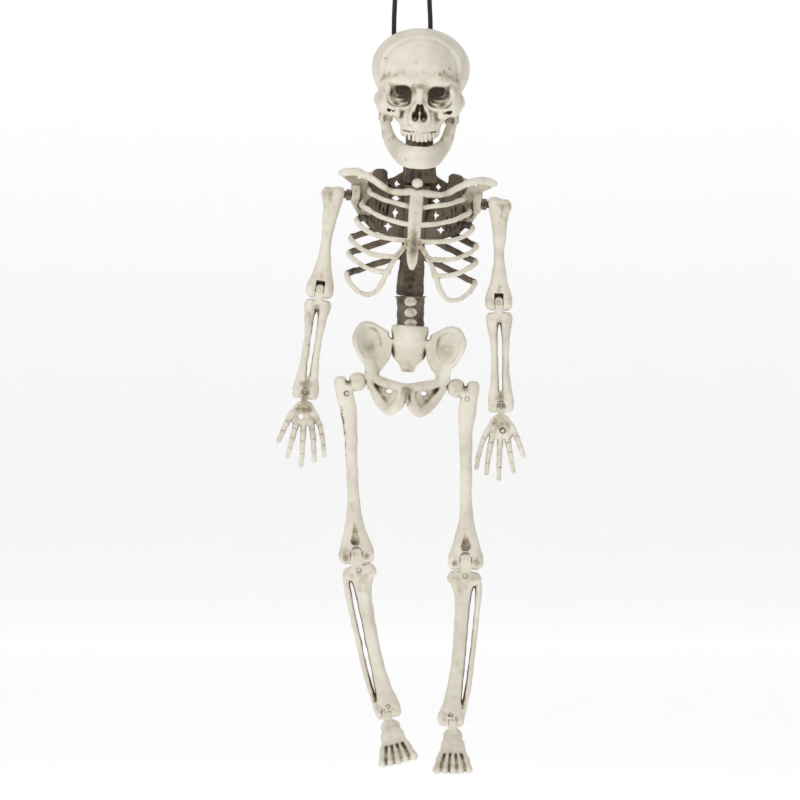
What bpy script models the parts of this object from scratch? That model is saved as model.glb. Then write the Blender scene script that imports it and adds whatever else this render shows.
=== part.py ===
"""A 40 cm hanging plastic skeleton with a cord loop, as separate jointed mouldings.

The frame's origin is the top of the hanging loop. The figure hangs below it, facing -Y,
so its own right side is at -X. Shapes are given in millimetres, in each bone's own frame,
and MM turns them into metres as they become meshes.
"""

import math

import bmesh
import bpy
from mathutils import Matrix, Vector

MM = 0.001

# Driving dimensions, in millimetres and degrees. GAP is the play between loose pieces.
GAP = 0.3
SIDES = {"right": -1, "left": 1}

HEAD_CENTRE = (4.7, 0.0, -67.7)
HEAD_TILT = 2.5
JAW_HINGE = (0.0, 3.0, -27.0)
JAW_PIN_RADIUS = 1.0
NECK_AXIS = (3.9, 6.0)
TORSO_TOP = (2.6, 0.0, -134.4)
TORSO_TILT = 4.0
LUMBAR_CENTRE = (-0.9, 6.0, -199.7)
PELVIS_TOP = (-1.2, 0.0, -210.7)
PELVIS_TILT = 3.5

SHOULDER = (44.8, 4.0, -5.0)
SHOULDER_PEG_RADIUS = 1.9
HUMERUS_LENGTH = 52.5
FOREARM_LENGTH = 55.5
HIP = (26.6, 2.0, -28.5)
HIP_PEG_RADIUS = 1.6
KNEE_OFFSET = 5.2
FEMUR_LENGTH = 92.7
SHIN_LENGTH = 85.5

HUMERUS_TILT = {"right": 8.0, "left": 0.3}
FOREARM_TILT = {"right": 8.0, "left": -1.2}
HAND_TILT = {"right": 4.0, "left": 1.0}
FEMUR_TILT = {"right": -2.9, "left": 0.0}
SHIN_TILT = {"right": -10.8, "left": 4.6}
FOOT_TILT = {"right": -14.0, "left": 0.6}

# Each hinge: the disc of the tongue, half its width, and the radius of its pin.
ELBOW = {"disc": 3.4, "half": 2.1, "pin": 1.1, "pin_half": 5.6}
WRIST = {"disc": 2.9, "half": 1.9, "pin": 1.0, "pin_half": 5.2}
KNEE = {"disc": 4.3, "half": 2.9, "pin": 1.4, "pin_half": 7.6}
ANKLE = {"disc": 3.4, "half": 2.4, "pin": 1.1, "pin_half": 5.2}

CORD_RADIUS = 1.3
CORD_POINTS = 34
KNOT_RADIUS = 2.5
# The hanging loop's route, from the knot in the skull's right side up, over and back down.
CORD_ROUTE = [
    (-9.8, 4.0, -54.7), (-9.8, 4.0, -51.0), (-9.8, 4.0, -47.0), (-9.7, 3.7, -42.0),
    (-9.5, 3.2, -37.0), (-9.2, 2.6, -31.0), (-8.8, 2.0, -25.0), (-8.2, 1.3, -19.0),
    (-7.5, 0.7, -13.5), (-6.6, 0.2, -8.6), (-5.2, 0.0, -4.8), (-2.9, 0.0, -2.2),
    (0.0, 0.0, -1.3), (2.9, 0.0, -2.2), (5.2, 0.0, -4.8), (6.6, 0.2, -8.6),
    (7.5, 0.7, -13.5), (8.2, 1.3, -19.0), (8.8, 2.0, -25.0), (9.2, 2.6, -31.0),
    (9.5, 3.2, -37.0), (9.7, 3.7, -41.0), (9.8, 4.0, -45.0), (9.8, 4.0, -50.2),
]

# Each rib: points from breastbone to side as (x, z), then its greatest depth in front.
RIBS = [
    ([(2.0, -10.2), (10.0, -8.6), (17.5, -6.9), (22.5, -4.6), (25.4, -2.2)], 15.4),
    ([(2.0, -19.7), (11.0, -18.2), (19.5, -15.8), (25.5, -12.6), (29.0, -9.4)], 17.2),
    ([(2.0, -28.3), (12.0, -27.8), (20.0, -26.4), (27.0, -23.2), (31.2, -18.2)], 18.4),
    ([(8.4, -37.2), (15.0, -37.2), (22.3, -36.2), (29.8, -32.6), (33.8, -27.8)], 19.0),
    ([(12.3, -45.8), (18.0, -45.4), (23.5, -44.2), (30.0, -40.6), (34.2, -36.2)], 18.5),
    ([(14.9, -50.8), (17.6, -55.6), (21.4, -58.2), (26.5, -57.4), (31.6, -53.4), (34.6, -47.4)], 17.5),
]
RIB_RADIUS = 1.15
BACK_DEPTH = 16.2
BACK_RISE = 8.0
CLAVICLE = [(2.0, -1.8), (9.0, -2.6), (14.3, -2.2), (21.0, 1.8), (27.0, 5.2), (34.0, 7.2), (41.3, 6.2)]


# ---------------------------------------------------------------- scene and materials

def clear_scene():
    for item in list(bpy.data.objects):
        bpy.data.objects.remove(item, do_unlink=True)


def plastic(name, colour, roughness):
    material = bpy.data.materials.new(name)
    material.use_nodes = True
    shader = material.node_tree.nodes["Principled BSDF"]
    shader.inputs["Base Color"].default_value = (*colour, 1.0)
    shader.inputs["Roughness"].default_value = roughness
    shader.inputs["Metallic"].default_value = 0.0
    return material


# ---------------------------------------------------------------- solids, in millimetres

def make_object(name, mesh_data):
    """Turns a bmesh in millimetres into an object whose faces all point outwards."""
    bmesh.ops.recalc_face_normals(mesh_data, faces=mesh_data.faces)
    bmesh.ops.scale(mesh_data, vec=(MM, MM, MM), verts=mesh_data.verts)
    mesh = bpy.data.meshes.new(name)
    mesh_data.to_mesh(mesh)
    mesh_data.free()
    thing = bpy.data.objects.new(name, mesh)
    bpy.context.collection.objects.link(thing)
    return thing


def skin_rings(name, rings):
    """Bridges closed rings of points, one after another, and caps both ends."""
    data = bmesh.new()
    loops = [[data.verts.new(point) for point in ring] for ring in rings]
    for low, high in zip(loops, loops[1:]):
        for i in range(len(low)):
            j = (i + 1) % len(low)
            data.faces.new((low[i], low[j], high[j], high[i]))
    data.faces.new(list(reversed(loops[0])))
    data.faces.new(loops[-1])
    return make_object(name, data)


def rounded(angle, power):
    """A point on a rounded outline of unit half-width: 2 is round, more is squarer."""
    c, s = math.cos(angle), math.sin(angle)
    return (
        math.copysign(abs(c) ** (2 / power), c),
        math.copysign(abs(s) ** (2 / power), s),
    )


def loft(name, sections, sides=10, power=2.3):
    """A solid through level outlines, each (z, centre x, centre y, half x, half y)."""
    turns = [rounded(math.tau * (i + 0.5) / sides, power) for i in range(sides)]
    rings = [
        [(cx + hx * u, cy + hy * v, z) for u, v in turns] for z, cx, cy, hx, hy in sections
    ]
    return skin_rings(name, rings)


def band(name, path, hub, thick, tall, sides=8, power=2.4):
    """A bar along a path. Its thickness points away from the upright line at hub."""
    points = [Vector(p) for p in path]
    thick = thick if isinstance(thick, list) else [thick] * len(points)
    tall = tall if isinstance(tall, list) else [tall] * len(points)
    turns = [rounded(math.tau * (i + 0.5) / sides, power) for i in range(sides)]
    rings = []
    for i, point in enumerate(points):
        along = points[min(i + 1, len(points) - 1)] - points[max(i - 1, 0)]
        along.normalize()
        out = Vector((point.x - hub[0], point.y - hub[1], 0.0))
        out = (out - along * out.dot(along)).normalized()
        up = along.cross(out)
        rings.append([point + out * (thick[i] * u) + up * (tall[i] * v) for u, v in turns])
    return skin_rings(name, rings)


def prism_x(name, outline, low, high):
    """An outline of (y, z) points drawn out along X."""
    rings = [[(x, y, z) for y, z in outline] for x in (low, high)]
    return skin_rings(name, rings)


def prism_y(name, outline, low, high):
    """An outline of (x, z) points drawn out along Y."""
    rings = [[(x, y, z) for x, z in outline] for y in (low, high)]
    return skin_rings(name, rings)


def block(name, low, high):
    outline = [(low[0], low[2]), (high[0], low[2]), (high[0], high[2]), (low[0], high[2])]
    return prism_y(name, outline, low[1], high[1])


def plate(name, rim, centre, thickness):
    """A dished plate: a rim of points and one centre point, given a thickness along Y."""
    data = bmesh.new()
    front = [data.verts.new(point) for point in rim]
    back = [data.verts.new((x, y + thickness, z)) for x, y, z in rim]
    middle = data.verts.new(centre)
    behind = data.verts.new((centre[0], centre[1] + thickness, centre[2]))
    for i in range(len(rim)):
        j = (i + 1) % len(rim)
        data.faces.new((front[i], front[j], middle))
        data.faces.new((back[j], back[i], behind))
        data.faces.new((front[j], front[i], back[i], back[j]))
    return make_object(name, data)


def rod(name, start, end, radius, sides=12):
    """A round bar between two points."""
    start, end = Vector(start), Vector(end)
    turn = (end - start).to_track_quat("Z", "Y").to_matrix().to_4x4()
    data = bmesh.new()
    bmesh.ops.create_cone(
        data, cap_ends=True, segments=sides, radius1=radius, radius2=radius,
        depth=(end - start).length, matrix=Matrix.Translation((start + end) / 2) @ turn,
    )
    return make_object(name, data)


def ball(name, centre, radii, across=12, up=8):
    data = bmesh.new()
    spread = Matrix.Diagonal((*radii, 1.0))
    bmesh.ops.create_uvsphere(
        data, u_segments=across, v_segments=up, radius=1.0,
        matrix=Matrix.Translation(centre) @ spread,
    )
    return make_object(name, data)


def combine(thing, others, operation):
    """Applies an exact Boolean with each of the others, and removes them."""
    for other in others:
        step = thing.modifiers.new(other.name, "BOOLEAN")
        step.operation = operation
        step.solver = "EXACT"
        step.object = other
    shape = thing.evaluated_get(bpy.context.evaluated_depsgraph_get())
    mesh = bpy.data.meshes.new_from_object(shape)
    thing.modifiers.clear()
    thing.data = mesh
    for other in others:
        bpy.data.objects.remove(other, do_unlink=True)
    return thing


def fuse(thing, *others):
    return combine(thing, others, "UNION")


def carve(thing, *others):
    return combine(thing, others, "DIFFERENCE")


def copy_of(thing, name):
    twin = bpy.data.objects.new(name, thing.data.copy())
    bpy.context.collection.objects.link(twin)
    return twin


def finish(thing, material, spot=(0.0, 0.0, 0.0), tilt=0.0):
    """Sets a piece's finish, its origin's place and its lean in the X-Z plane."""
    thing.data.materials.clear()
    thing.data.materials.append(material)
    thing.data.shade_smooth()
    thing.data.set_sharp_from_angle(angle=math.radians(40))
    thing.location = [MM * value for value in spot]
    thing.rotation_euler = (0.0, math.radians(tilt), 0.0)
    return thing


def leaning(spot, origin, tilt):
    """Where a point of a leaning frame lies in the figure's frame."""
    turn = Matrix.Rotation(math.radians(tilt), 3, "Y")
    return tuple(Vector(origin) + turn @ Vector(spot))


def unleaned(spot, origin, tilt):
    """A point of the figure's frame, in a leaning frame."""
    turn = Matrix.Rotation(math.radians(-tilt), 3, "Y")
    return tuple(turn @ (Vector(spot) - Vector(origin)))


def below(origin, length, tilt, sideways=0.0):
    """The point a bone's length down a leaning bone, and a step across it."""
    return leaning((sideways, 0.0, -length), origin, tilt)


def cross_bar(name, radius, half, lean=0.0, sides=12):
    """A bar through the origin along X, or along an X axis that leans in X-Z."""
    end = leaning((half, 0.0, 0.0), (0.0, 0.0, 0.0), lean)
    return rod(name, [-value for value in end], end, radius, sides)


# ---------------------------------------------------------------- head

def skull_form():
    """The whole head without its jaw: level outlines as (z, half x, front y, back y)."""
    levels = [
        (-41.0, 9.4, -26.0, -9.0), (-35.0, 10.3, -26.3, -7.0), (-31.0, 12.5, -26.0, 0.0),
        (-27.5, 17.0, -26.0, 8.0), (-24.0, 18.8, -26.0, 14.0), (-19.0, 21.8, -26.8, 21.5),
        (-13.0, 23.3, -27.6, 27.0), (-5.0, 26.0, -28.0, 30.0), (2.0, 26.5, -28.0, 30.2),
        (9.0, 24.2, -25.6, 27.2), (15.0, 18.6, -20.0, 21.2), (19.0, 10.4, -12.0, 13.0),
        (20.4, 3.4, -5.0, 5.6),
    ]
    return loft("skull", [(z, 0, (f + b) / 2, hx, (b - f) / 2) for z, hx, f, b in levels], 20, 2.15)


def skull_hollow():
    levels = [
        (-19.4, 17.6, -13.0, 16.6), (-10.0, 21.8, -19.6, 25.4), (2.0, 24.4, -21.0, 28.2),
        (9.0, 22.0, -20.0, 25.0), (15.0, 15.8, -15.0, 18.2), (18.0, 7.6, -8.0, 9.4),
    ]
    return loft("hollow", [(z, 0, (f + b) / 2, hx, (b - f) / 2) for z, hx, f, b in levels], 16, 2.1)


def in_head(spot):
    return unleaned(spot, HEAD_CENTRE, HEAD_TILT)


def neck_hole():
    """The upright hole in the skull's base that the neck's stem turns in."""
    low = in_head((*NECK_AXIS, HEAD_CENTRE[2] - 45.0))
    high = in_head((*NECK_AXIS, HEAD_CENTRE[2] - 15.0))
    return rod("neck_hole", low, high, 4.5, 16)


def jaw_bores():
    """The bores of the jaw's two stub pins, as one bar through the head."""
    bores = cross_bar("jaw_bores", JAW_PIN_RADIUS + GAP, 24.0)
    bores.data.transform(Matrix.Translation(Vector(JAW_HINGE) * MM))
    return bores


def eye_socket(side):
    """A rounded square recess that narrows inwards, facing forwards."""
    socket = loft("socket", [(0.0, 0, 0, 6.1, 5.6), (5.0, 0, 0, 5.4, 4.9), (6.5, 0, 0, 3.6, 3.2)], 14, 3.0)
    socket.data.transform(Matrix.Rotation(math.radians(-90), 4, "X"))
    socket.data.transform(Matrix.Translation(Vector((side * 11.0, -28.2, -16.2)) * MM))
    return socket


def build_skull(bone):
    seam = [(-17.5, 40.0), (-17.5, 15.0), (-12.0, -21.8), (6.0, -21.8), (6.0, -60.0)]
    front_room = [(-60.0, 40.0), *[(y + GAP, z + GAP) for y, z in seam], (-60.0, -60.0)]
    behind = [*seam, (60.0, -60.0), (60.0, 40.0)]

    face = carve(skull_form(), skull_hollow(), prism_x("behind", behind, -40.0, 40.0))
    sockets = [eye_socket(side) for side in SIDES.values()]
    nose_rim = [(-4.4, -29.0), (0.0, -27.6), (4.4, -29.0), (2.6, -23.4), (0.0, -20.8), (-2.6, -23.4)]
    nose = prism_y("nose", nose_rim, -30.0, -23.4)
    carve(face, *sockets, nose, neck_hole(), jaw_bores())
    face.name = "skull_face"

    back = carve(skull_form(), skull_hollow(), prism_x("front", front_room, -40.0, 40.0))
    holes = [
        rod("cord_hole", in_head((x, 4.0, -70.0)), in_head((x, 4.0, -40.0)), CORD_RADIUS + 0.5, 10)
        for x in (CORD_ROUTE[0][0], CORD_ROUTE[-1][0])
    ]
    carve(back, neck_hole(), *holes)
    back.name = "skull_back"
    for shell in (face, back):
        finish(shell, bone, HEAD_CENTRE, HEAD_TILT)


def build_jaw(bone, steel):
    """The lower jaw's arch, with its teeth, hung on a stub pin at each side."""
    half = [
        (20.6, 3.2, -25.2), (20.5, 3.0, -29.0), (19.6, 1.6, -35.0), (17.9, -1.5, -40.5),
        (15.9, -6.0, -45.0), (12.6, -13.0, -48.6), (8.6, -19.5, -50.4), (4.2, -23.6, -50.8),
    ]
    path = [(-x, y, z) for x, y, z in half] + [(0.0, -24.8, -50.8)] + half[::-1]
    thick = [1.3, 1.3, 1.4, 1.6, 1.8, 2.0, 2.1, 2.2]
    tall = [2.6, 3.2, 4.2, 4.6, 4.4, 4.4, 4.6, 4.7]
    thick = [*thick, 2.2, *thick[::-1]]
    tall = [*tall, 4.8, *tall[::-1]]
    jaw = band("jaw", path, (0.0, 2.0), thick, tall, 8, 3.0)
    teeth = [(-9.0, -14.5, -44.6), (-7.6, -19.0, -44.2), (-4.2, -22.6, -44.0), (0.0, -23.9, -44.0)]
    teeth += [(-x, y, z) for x, y, z in teeth[-2::-1]]
    fuse(jaw, band("lower_teeth", teeth, (0.0, 0.0), 1.3, 2.6, 8, 3.0))
    carve(jaw, jaw_bores())
    jaw.data.transform(Matrix.Translation(Vector(JAW_HINGE) * -MM))
    finish(jaw, bone, leaning(JAW_HINGE, HEAD_CENTRE, HEAD_TILT), HEAD_TILT)
    for name, side in SIDES.items():
        inner, outer = (side * 14.5, *JAW_HINGE[1:]), (side * 21.7, *JAW_HINGE[1:])
        finish(rod(f"jaw_pin_{name}", inner, outer, JAW_PIN_RADIUS, 10), steel, HEAD_CENTRE, HEAD_TILT)


def build_neck(wash):
    """The neck: a stem with a flange in the skull, a ridged column, and a foot in the chest."""
    levels = [
        (-138.5, 3.4), (-130.4, 3.4), (-130.4, 7.6), (-127.0, 7.2), (-123.6, 7.8), (-120.0, 7.2),
        (-116.4, 7.6), (-112.4, 7.0), (-104.0, 6.6), (-101.0, 4.0), (-87.0, 4.0), (-86.6, 6.4),
        (-84.6, 6.4), (-83.6, 5.0),
    ]
    neck = loft("neck_post", [(z, *NECK_AXIS, r, r) for z, r in levels], 14, 2.0)
    finish(neck, wash)


# ---------------------------------------------------------------- chest

def rib_path(points, depth):
    """A rib's front run: its depth follows an ellipse that ends at the side seam."""
    side_x, side_z = points[-1]
    path = [(x, -depth * math.sqrt(1 - (x / side_x) ** 2), z) for x, z in points[:-1]]
    return path + [(side_x - 0.2, -0.22 * depth, side_z - 1.2), (side_x, 1.2, side_z + 0.4)]


def back_path(points):
    """The same rib behind the seam, rising to the spine."""
    side_x, side_z = points[-1]
    path = [(side_x, -1.2, side_z)]
    for part in (0.97, 0.82, 0.55, 0.1):
        depth = BACK_DEPTH * math.sqrt(1 - part**2)
        path.append((side_x * part, depth, side_z + BACK_RISE * (1 - part)))
    return path


def mirrored(path, side):
    return [(side * x, y, z) for x, y, z in path]


def build_ribcage_front(bone):
    breastbone = [
        (-43.6, 0, -17.6, 0.9, 0.9), (-40.0, 0, -17.8, 2.7, 1.3), (-36.0, 0, -18.2, 3.2, 1.5),
        (-31.0, 0, -18.4, 3.6, 1.6), (-20.0, 0, -17.6, 3.7, 1.6), (-9.0, 0, -15.9, 3.9, 1.7),
        (-3.0, 0, -14.8, 5.2, 1.8), (-0.4, 0, -14.4, 4.4, 1.6),
    ]
    shell = loft("ribcage_front", breastbone, 10, 2.6)
    pieces = [ball("notch_ball", (0.0, -14.6, 2.4), (3.0, 2.8, 3.0), 10, 6)]
    margin = [(2.4, -29.6), (6.0, -33.4), (8.9, -37.6), (11.4, -42.4), (13.2, -46.6), (15.2, -51.6)]
    for side in SIDES.values():
        for points, depth in RIBS:
            path = mirrored(rib_path(points, depth), side)
            pieces.append(band("rib", path, (0.0, 0.0), RIB_RADIUS, RIB_RADIUS, 6, 2.0))
        edge = [(x, -18.2 * math.sqrt(1 - (x / 36.0) ** 2), z) for x, z in margin]
        pieces.append(band("margin", mirrored(edge, side), (0.0, 0.0), 1.2, 1.35, 6, 2.0))
        bar = [(x, -15.0 + 12.0 * (x - 3.0) / 38.0, z) for x, z in CLAVICLE]
        sizes = [1.9, 1.8, 1.7, 1.8, 2.0, 2.1, 1.7]
        pieces.append(band("clavicle", mirrored(bar, side), (0.0, 4.0), 1.5, sizes, 8, 2.4))
    fuse(shell, *pieces)
    carve(shell, block("behind_seam", (-60.0, -GAP / 2, -80.0), (60.0, 40.0, 40.0)))
    finish(shell, bone, TORSO_TOP, TORSO_TILT)


def build_ribcage_back(wash):
    spine = [
        (-56.0, 0, 8.4, 5.6, 2.8), (-52.0, 0, 10.8, 6.0, 3.0), (-44.0, 0, 14.2, 6.2, 3.1),
        (-30.0, 0, 15.2, 6.2, 3.1), (-12.0, 0, 15.0, 6.2, 3.1), (-4.0, 0, 12.0, 7.0, 4.0),
        (2.6, 0, 7.6, 7.6, 6.4),
    ]
    shell = loft("ribcage_back", spine, 12, 2.4)
    pieces = [rod("tenon", (-0.6, 7.4, -62.0), (0.0, 7.6, -55.0), 2.4, 10)]
    across = (-24.5, -17.0, -9.0, 0.0, 9.0, 17.0, 24.5)
    arch = [(x, BACK_DEPTH * math.sqrt(1 - (x / 27.5) ** 2), -9.0) for x in across]
    pieces.append(band("back_plate", arch, (0.0, 0.0), 0.9, 12.0, 8, 6.0))
    for side in SIDES.values():
        for points, _ in RIBS:
            path = mirrored(back_path(points), side)
            pieces.append(band("rib", path, (0.0, 0.0), RIB_RADIUS, RIB_RADIUS + 0.25, 6, 2.0))
        rim = [
            (35.6, 2.4, 1.6), (34.6, 2.6, -8.0), (30.0, 3.6, -15.6), (22.0, 8.6, -21.0),
            (15.0, 11.6, -8.0), (17.5, 8.6, 11.6), (26.0, 4.6, 8.4), (38.0, 1.2, 7.6),
            (40.6, 1.0, 4.8),
        ]
        pieces.append(plate("scapula", mirrored(rim, side), (side * 28.0, 6.4, -2.0), 2.4))
        low, high = (30.4, 0.9, -10.0), (34.9, 7.6, 0.2)
        if side < 0:
            low, high = (-high[0], low[1], low[2]), (-low[0], high[1], high[2])
        pieces.append(block("glenoid", low, high))
    fuse(shell, *pieces)
    cuts = [block("before_seam", (-60.0, -40.0, -80.0), (60.0, GAP / 2, 40.0))]
    foot = [unleaned((*NECK_AXIS, z), TORSO_TOP, TORSO_TILT) for z in (-139.5, -120.0)]
    cuts.append(rod("neck_socket", *foot, 3.9, 14))
    for side in SIDES.values():
        start, end = (side * 31.6, *SHOULDER[1:]), (side * 50.0, *SHOULDER[1:])
        cuts.append(rod("peg_bore", start, end, SHOULDER_PEG_RADIUS + GAP, 12))
    carve(shell, *cuts)
    finish(shell, wash, TORSO_TOP, TORSO_TILT)


def build_shoulder_pegs(wash):
    for name, side in SIDES.items():
        y, z = SHOULDER[1:]
        start, end = (side * 32.2, y, z), (side * 45.5, y, z)
        peg = rod(f"shoulder_peg_{name}", start, end, SHOULDER_PEG_RADIUS, 12)
        fuse(peg, rod("collar", (side * 35.3, y, z), (side * 38.0, y, z), 3.0, 12))
        finish(peg, wash, TORSO_TOP, TORSO_TILT)


# ---------------------------------------------------------------- waist and pelvis

def build_lumbar(bone, wash):
    """Two half shells round the spine's lower end; the rear one carries the swivel stem."""
    outside = [
        (-8.4, 0, 0, 7.4, 6.2), (-5.6, 0, 0, 7.6, 6.2), (-3.0, 0, 0, 6.8, 5.8), (0.0, 0, 0, 7.5, 6.2),
        (3.0, 0, 0, 6.8, 5.8), (6.0, 0, 0, 7.6, 6.2), (8.3, 0, 0, 8.6, 6.8),
    ]
    front = loft("lumbar_front", outside, 12, 2.2)
    hollow = loft("hollow", [(-5.4, 0, 0, 5.2, 4.4), (9.4, 0, 0, 5.6, 4.6)], 12, 2.0)
    carve(front, hollow)
    back = copy_of(front, "lumbar_back")
    carve(front, block("rear", (-20.0, -GAP / 2, -20.0), (20.0, 20.0, 20.0)))
    carve(back, block("fore", (-20.0, -20.0, -20.0), (20.0, GAP / 2, 20.0)))
    stem = [
        (-15.9, 0, 0, 5.0, 5.0), (-14.9, 0, 0, 5.9, 5.9), (-14.2, 0, 0, 5.9, 5.9),
        (-13.9, 0, 0, 4.2, 4.2), (-8.9, 0, 0, 4.2, 4.2),
    ]
    root = block("root", (-3.2, 0.4, -9.6), (3.2, 3.4, -7.4))
    fuse(back, loft("stem", stem, 14, 2.0), root)
    finish(front, bone, LUMBAR_CENTRE)
    finish(back, wash, LUMBAR_CENTRE)


def build_pelvis(bone):
    """The pelvis, moulded as a front and a rear shell that close round the swivel stem."""
    body = [
        (-21.6, 0, 5.8, 3.4, 2.2), (-18.0, 0, 5.8, 5.0, 3.0), (-13.4, 0, 6.0, 9.2, 4.6),
        (-6.0, 0, 6.0, 10.4, 7.4), (-2.8, 0, 6.0, 9.6, 8.4), (0.0, 0, 6.0, 9.9, 8.6),
        (3.2, 0, 6.0, 9.9, 8.4),
    ]
    whole = loft("pelvis", body, 14, 2.3)
    pieces = []
    for side in SIDES.values():
        rim = [
            (8.8, 1.6, -4.6), (14.4, 1.6, -0.8), (20.3, 0.6, 3.2), (26.0, -2.0, 3.0),
            (30.0, -6.0, -3.6), (28.8, -8.0, -9.5), (24.0, -5.6, -17.8), (21.4, -3.0, -24.6),
            (14.6, -0.6, -21.6), (9.6, 1.4, -13.5),
        ]
        pieces.append(plate("wing", mirrored(rim, side), (side * 20.0, 3.0, -8.6), 2.7))
        upper = [(20.4, -0.4, -24.6), (14.4, -4.4, -27.4), (8.0, -8.4, -29.0), (1.0, -11.2, -30.6)]
        pieces.append(band("upper_ramus", mirrored(upper, side), (0.0, 8.0), 2.3, 2.2, 8, 2.2))
        lower = [
            (18.9, -0.4, -25.0), (18.2, -1.6, -30.5), (15.9, -3.6, -35.2), (12.6, -6.2, -39.8),
            (8.4, -8.6, -42.6), (4.8, -10.2, -40.6), (2.6, -11.0, -36.4), (2.0, -11.4, -32.0),
        ]
        hub = (side * 10.0, 40.0)
        pieces.append(band("lower_ramus", mirrored(lower, side), hub, 2.3, 2.5, 8, 2.2))
        pieces.append(rod("hip_boss", (side * 14.2, *HIP[1:]), (side * 21.0, *HIP[1:]), 3.7, 14))
    fuse(whole, *pieces)
    levels = (-200.0, -209.6, -213.0, -216.9)
    top, mouth, throat, floor = [
        unleaned((*LUMBAR_CENTRE[:2], z), PELVIS_TOP, PELVIS_TILT) for z in levels
    ]
    cuts = [
        rod("mouth", mouth, top, 8.3, 16), rod("throat", throat, top, 4.8, 14),
        rod("room", floor, throat, 6.6, 14),
    ]
    for side in SIDES.values():
        start, end = (side * 15.4, *HIP[1:]), (side * 30.0, *HIP[1:])
        cuts.append(rod("peg_bore", start, end, HIP_PEG_RADIUS + 0.4, 12))
    carve(whole, *cuts)
    back = copy_of(whole, "pelvis_back")
    whole.name = "pelvis_front"
    seam = LUMBAR_CENTRE[1]
    carve(whole, block("rear", (-60.0, seam - GAP / 2, -60.0), (60.0, 60.0, 40.0)))
    carve(back, block("fore", (-60.0, -60.0, -60.0), (60.0, seam + GAP / 2, 40.0)))
    for shell in (whole, back):
        finish(shell, bone, PELVIS_TOP, PELVIS_TILT)


def build_hip_pegs(bone):
    for name, side in SIDES.items():
        start, end = (side * 15.9, *HIP[1:]), (side * 28.6, *HIP[1:])
        peg = rod(f"hip_peg_{name}", start, end, HIP_PEG_RADIUS, 12)
        finish(peg, bone, PELVIS_TOP, PELVIS_TILT)


# ---------------------------------------------------------------- hinges

def fork_slot(hinge, length, depth):
    """The room for a tongue in a bone's lower end, and its pin's bore."""
    half = hinge["half"] + GAP
    slot = block("slot", (-half, -20.0, -length - 20.0), (half, 20.0, -length + depth))
    bore = cross_bar("bore", hinge["pin"] + GAP, 14.0)
    bore.data.transform(Matrix.Translation((0.0, 0.0, -length * MM)))
    return slot, bore


def tongue(hinge, reach, lean):
    """A tongue with a round top about the origin, in line with the bone above it."""
    half, disc = hinge["half"], hinge["disc"]
    neck = disc * 0.82
    outline = [(-neck, -reach), (neck, -reach)]
    outline += [
        (disc * math.cos(math.radians(a)), disc * math.sin(math.radians(a)))
        for a in range(-35, 216, 25)
    ]
    plug = prism_x("tongue", outline, -half, half)
    plug.data.transform(Matrix.Rotation(math.radians(lean), 4, "Y"))
    return plug


def tongue_bore(hinge, lean):
    return cross_bar("tongue_bore", hinge["pin"] + GAP, 14.0, lean)


def hinge_pin(name, hinge, spot, tilt, steel):
    pin = cross_bar(name, hinge["pin"], hinge["pin_half"], 0.0, 10)
    return finish(pin, steel, spot, tilt)


# ---------------------------------------------------------------- arms

def build_humerus(name, side, bone, spot, tilt):
    levels = [
        (-56.4, 5.0, 2.2), (-55.4, 6.2, 3.2), (-52.5, 7.1, 4.0), (-48.5, 6.7, 3.8), (-44.0, 5.3, 3.3),
        (-37.0, 3.9, 2.9), (-30.0, 3.0, 2.7), (-22.0, 3.1, 2.8), (-14.0, 4.0, 3.3), (-8.0, 5.0, 4.0),
        (-3.0, 6.2, 4.9), (0.5, 6.4, 5.0), (3.2, 4.9, 3.8), (4.2, 3.4, 2.6),
    ]
    humerus = loft(f"humerus_{name}", [(z, 0, 0, hx, hy) for z, hx, hy in levels])
    lean = TORSO_TILT - tilt
    inner = leaning((-side * 12.0, 0.0, 0.0), (0.0, 0.0, 0.0), lean)
    outer = leaning((side * 1.6, 0.0, 0.0), (0.0, 0.0, 0.0), lean)
    socket = rod("socket", inner, outer, SHOULDER_PEG_RADIUS + GAP, 12)
    carve(humerus, socket, *fork_slot(ELBOW, HUMERUS_LENGTH, 5.0))
    return finish(humerus, bone, spot, tilt)


def build_forearm(name, bone, spot, tilt, lean):
    levels = [
        (-59.0, 4.4, 2.0), (-58.0, 5.6, 2.9), (-55.5, 7.1, 3.5), (-51.5, 6.9, 3.4), (-45.0, 5.6, 3.0),
        (-36.0, 4.7, 2.6), (-24.0, 4.7, 2.6), (-16.0, 5.8, 3.0), (-11.0, 6.8, 3.4), (-7.6, 7.1, 3.5),
        (-5.1, 5.2, 2.8),
    ]
    forearm = loft(f"forearm_{name}", [(z, 0, 0, hx, hy) for z, hx, hy in levels])
    fuse(forearm, tongue(ELBOW, 7.0, lean))
    gap = [(-47.0, 0, 0, 0.6, 9), (-44.0, 0, 0, 1.4, 9), (-18.0, 0, 0, 1.5, 9), (-12.0, 0, 0, 0.7, 9)]
    between = loft("between", gap, 8, 4.0)
    carve(forearm, between, tongue_bore(ELBOW, lean), *fork_slot(WRIST, FOREARM_LENGTH, 4.0))
    return finish(forearm, bone, spot, tilt)


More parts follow.
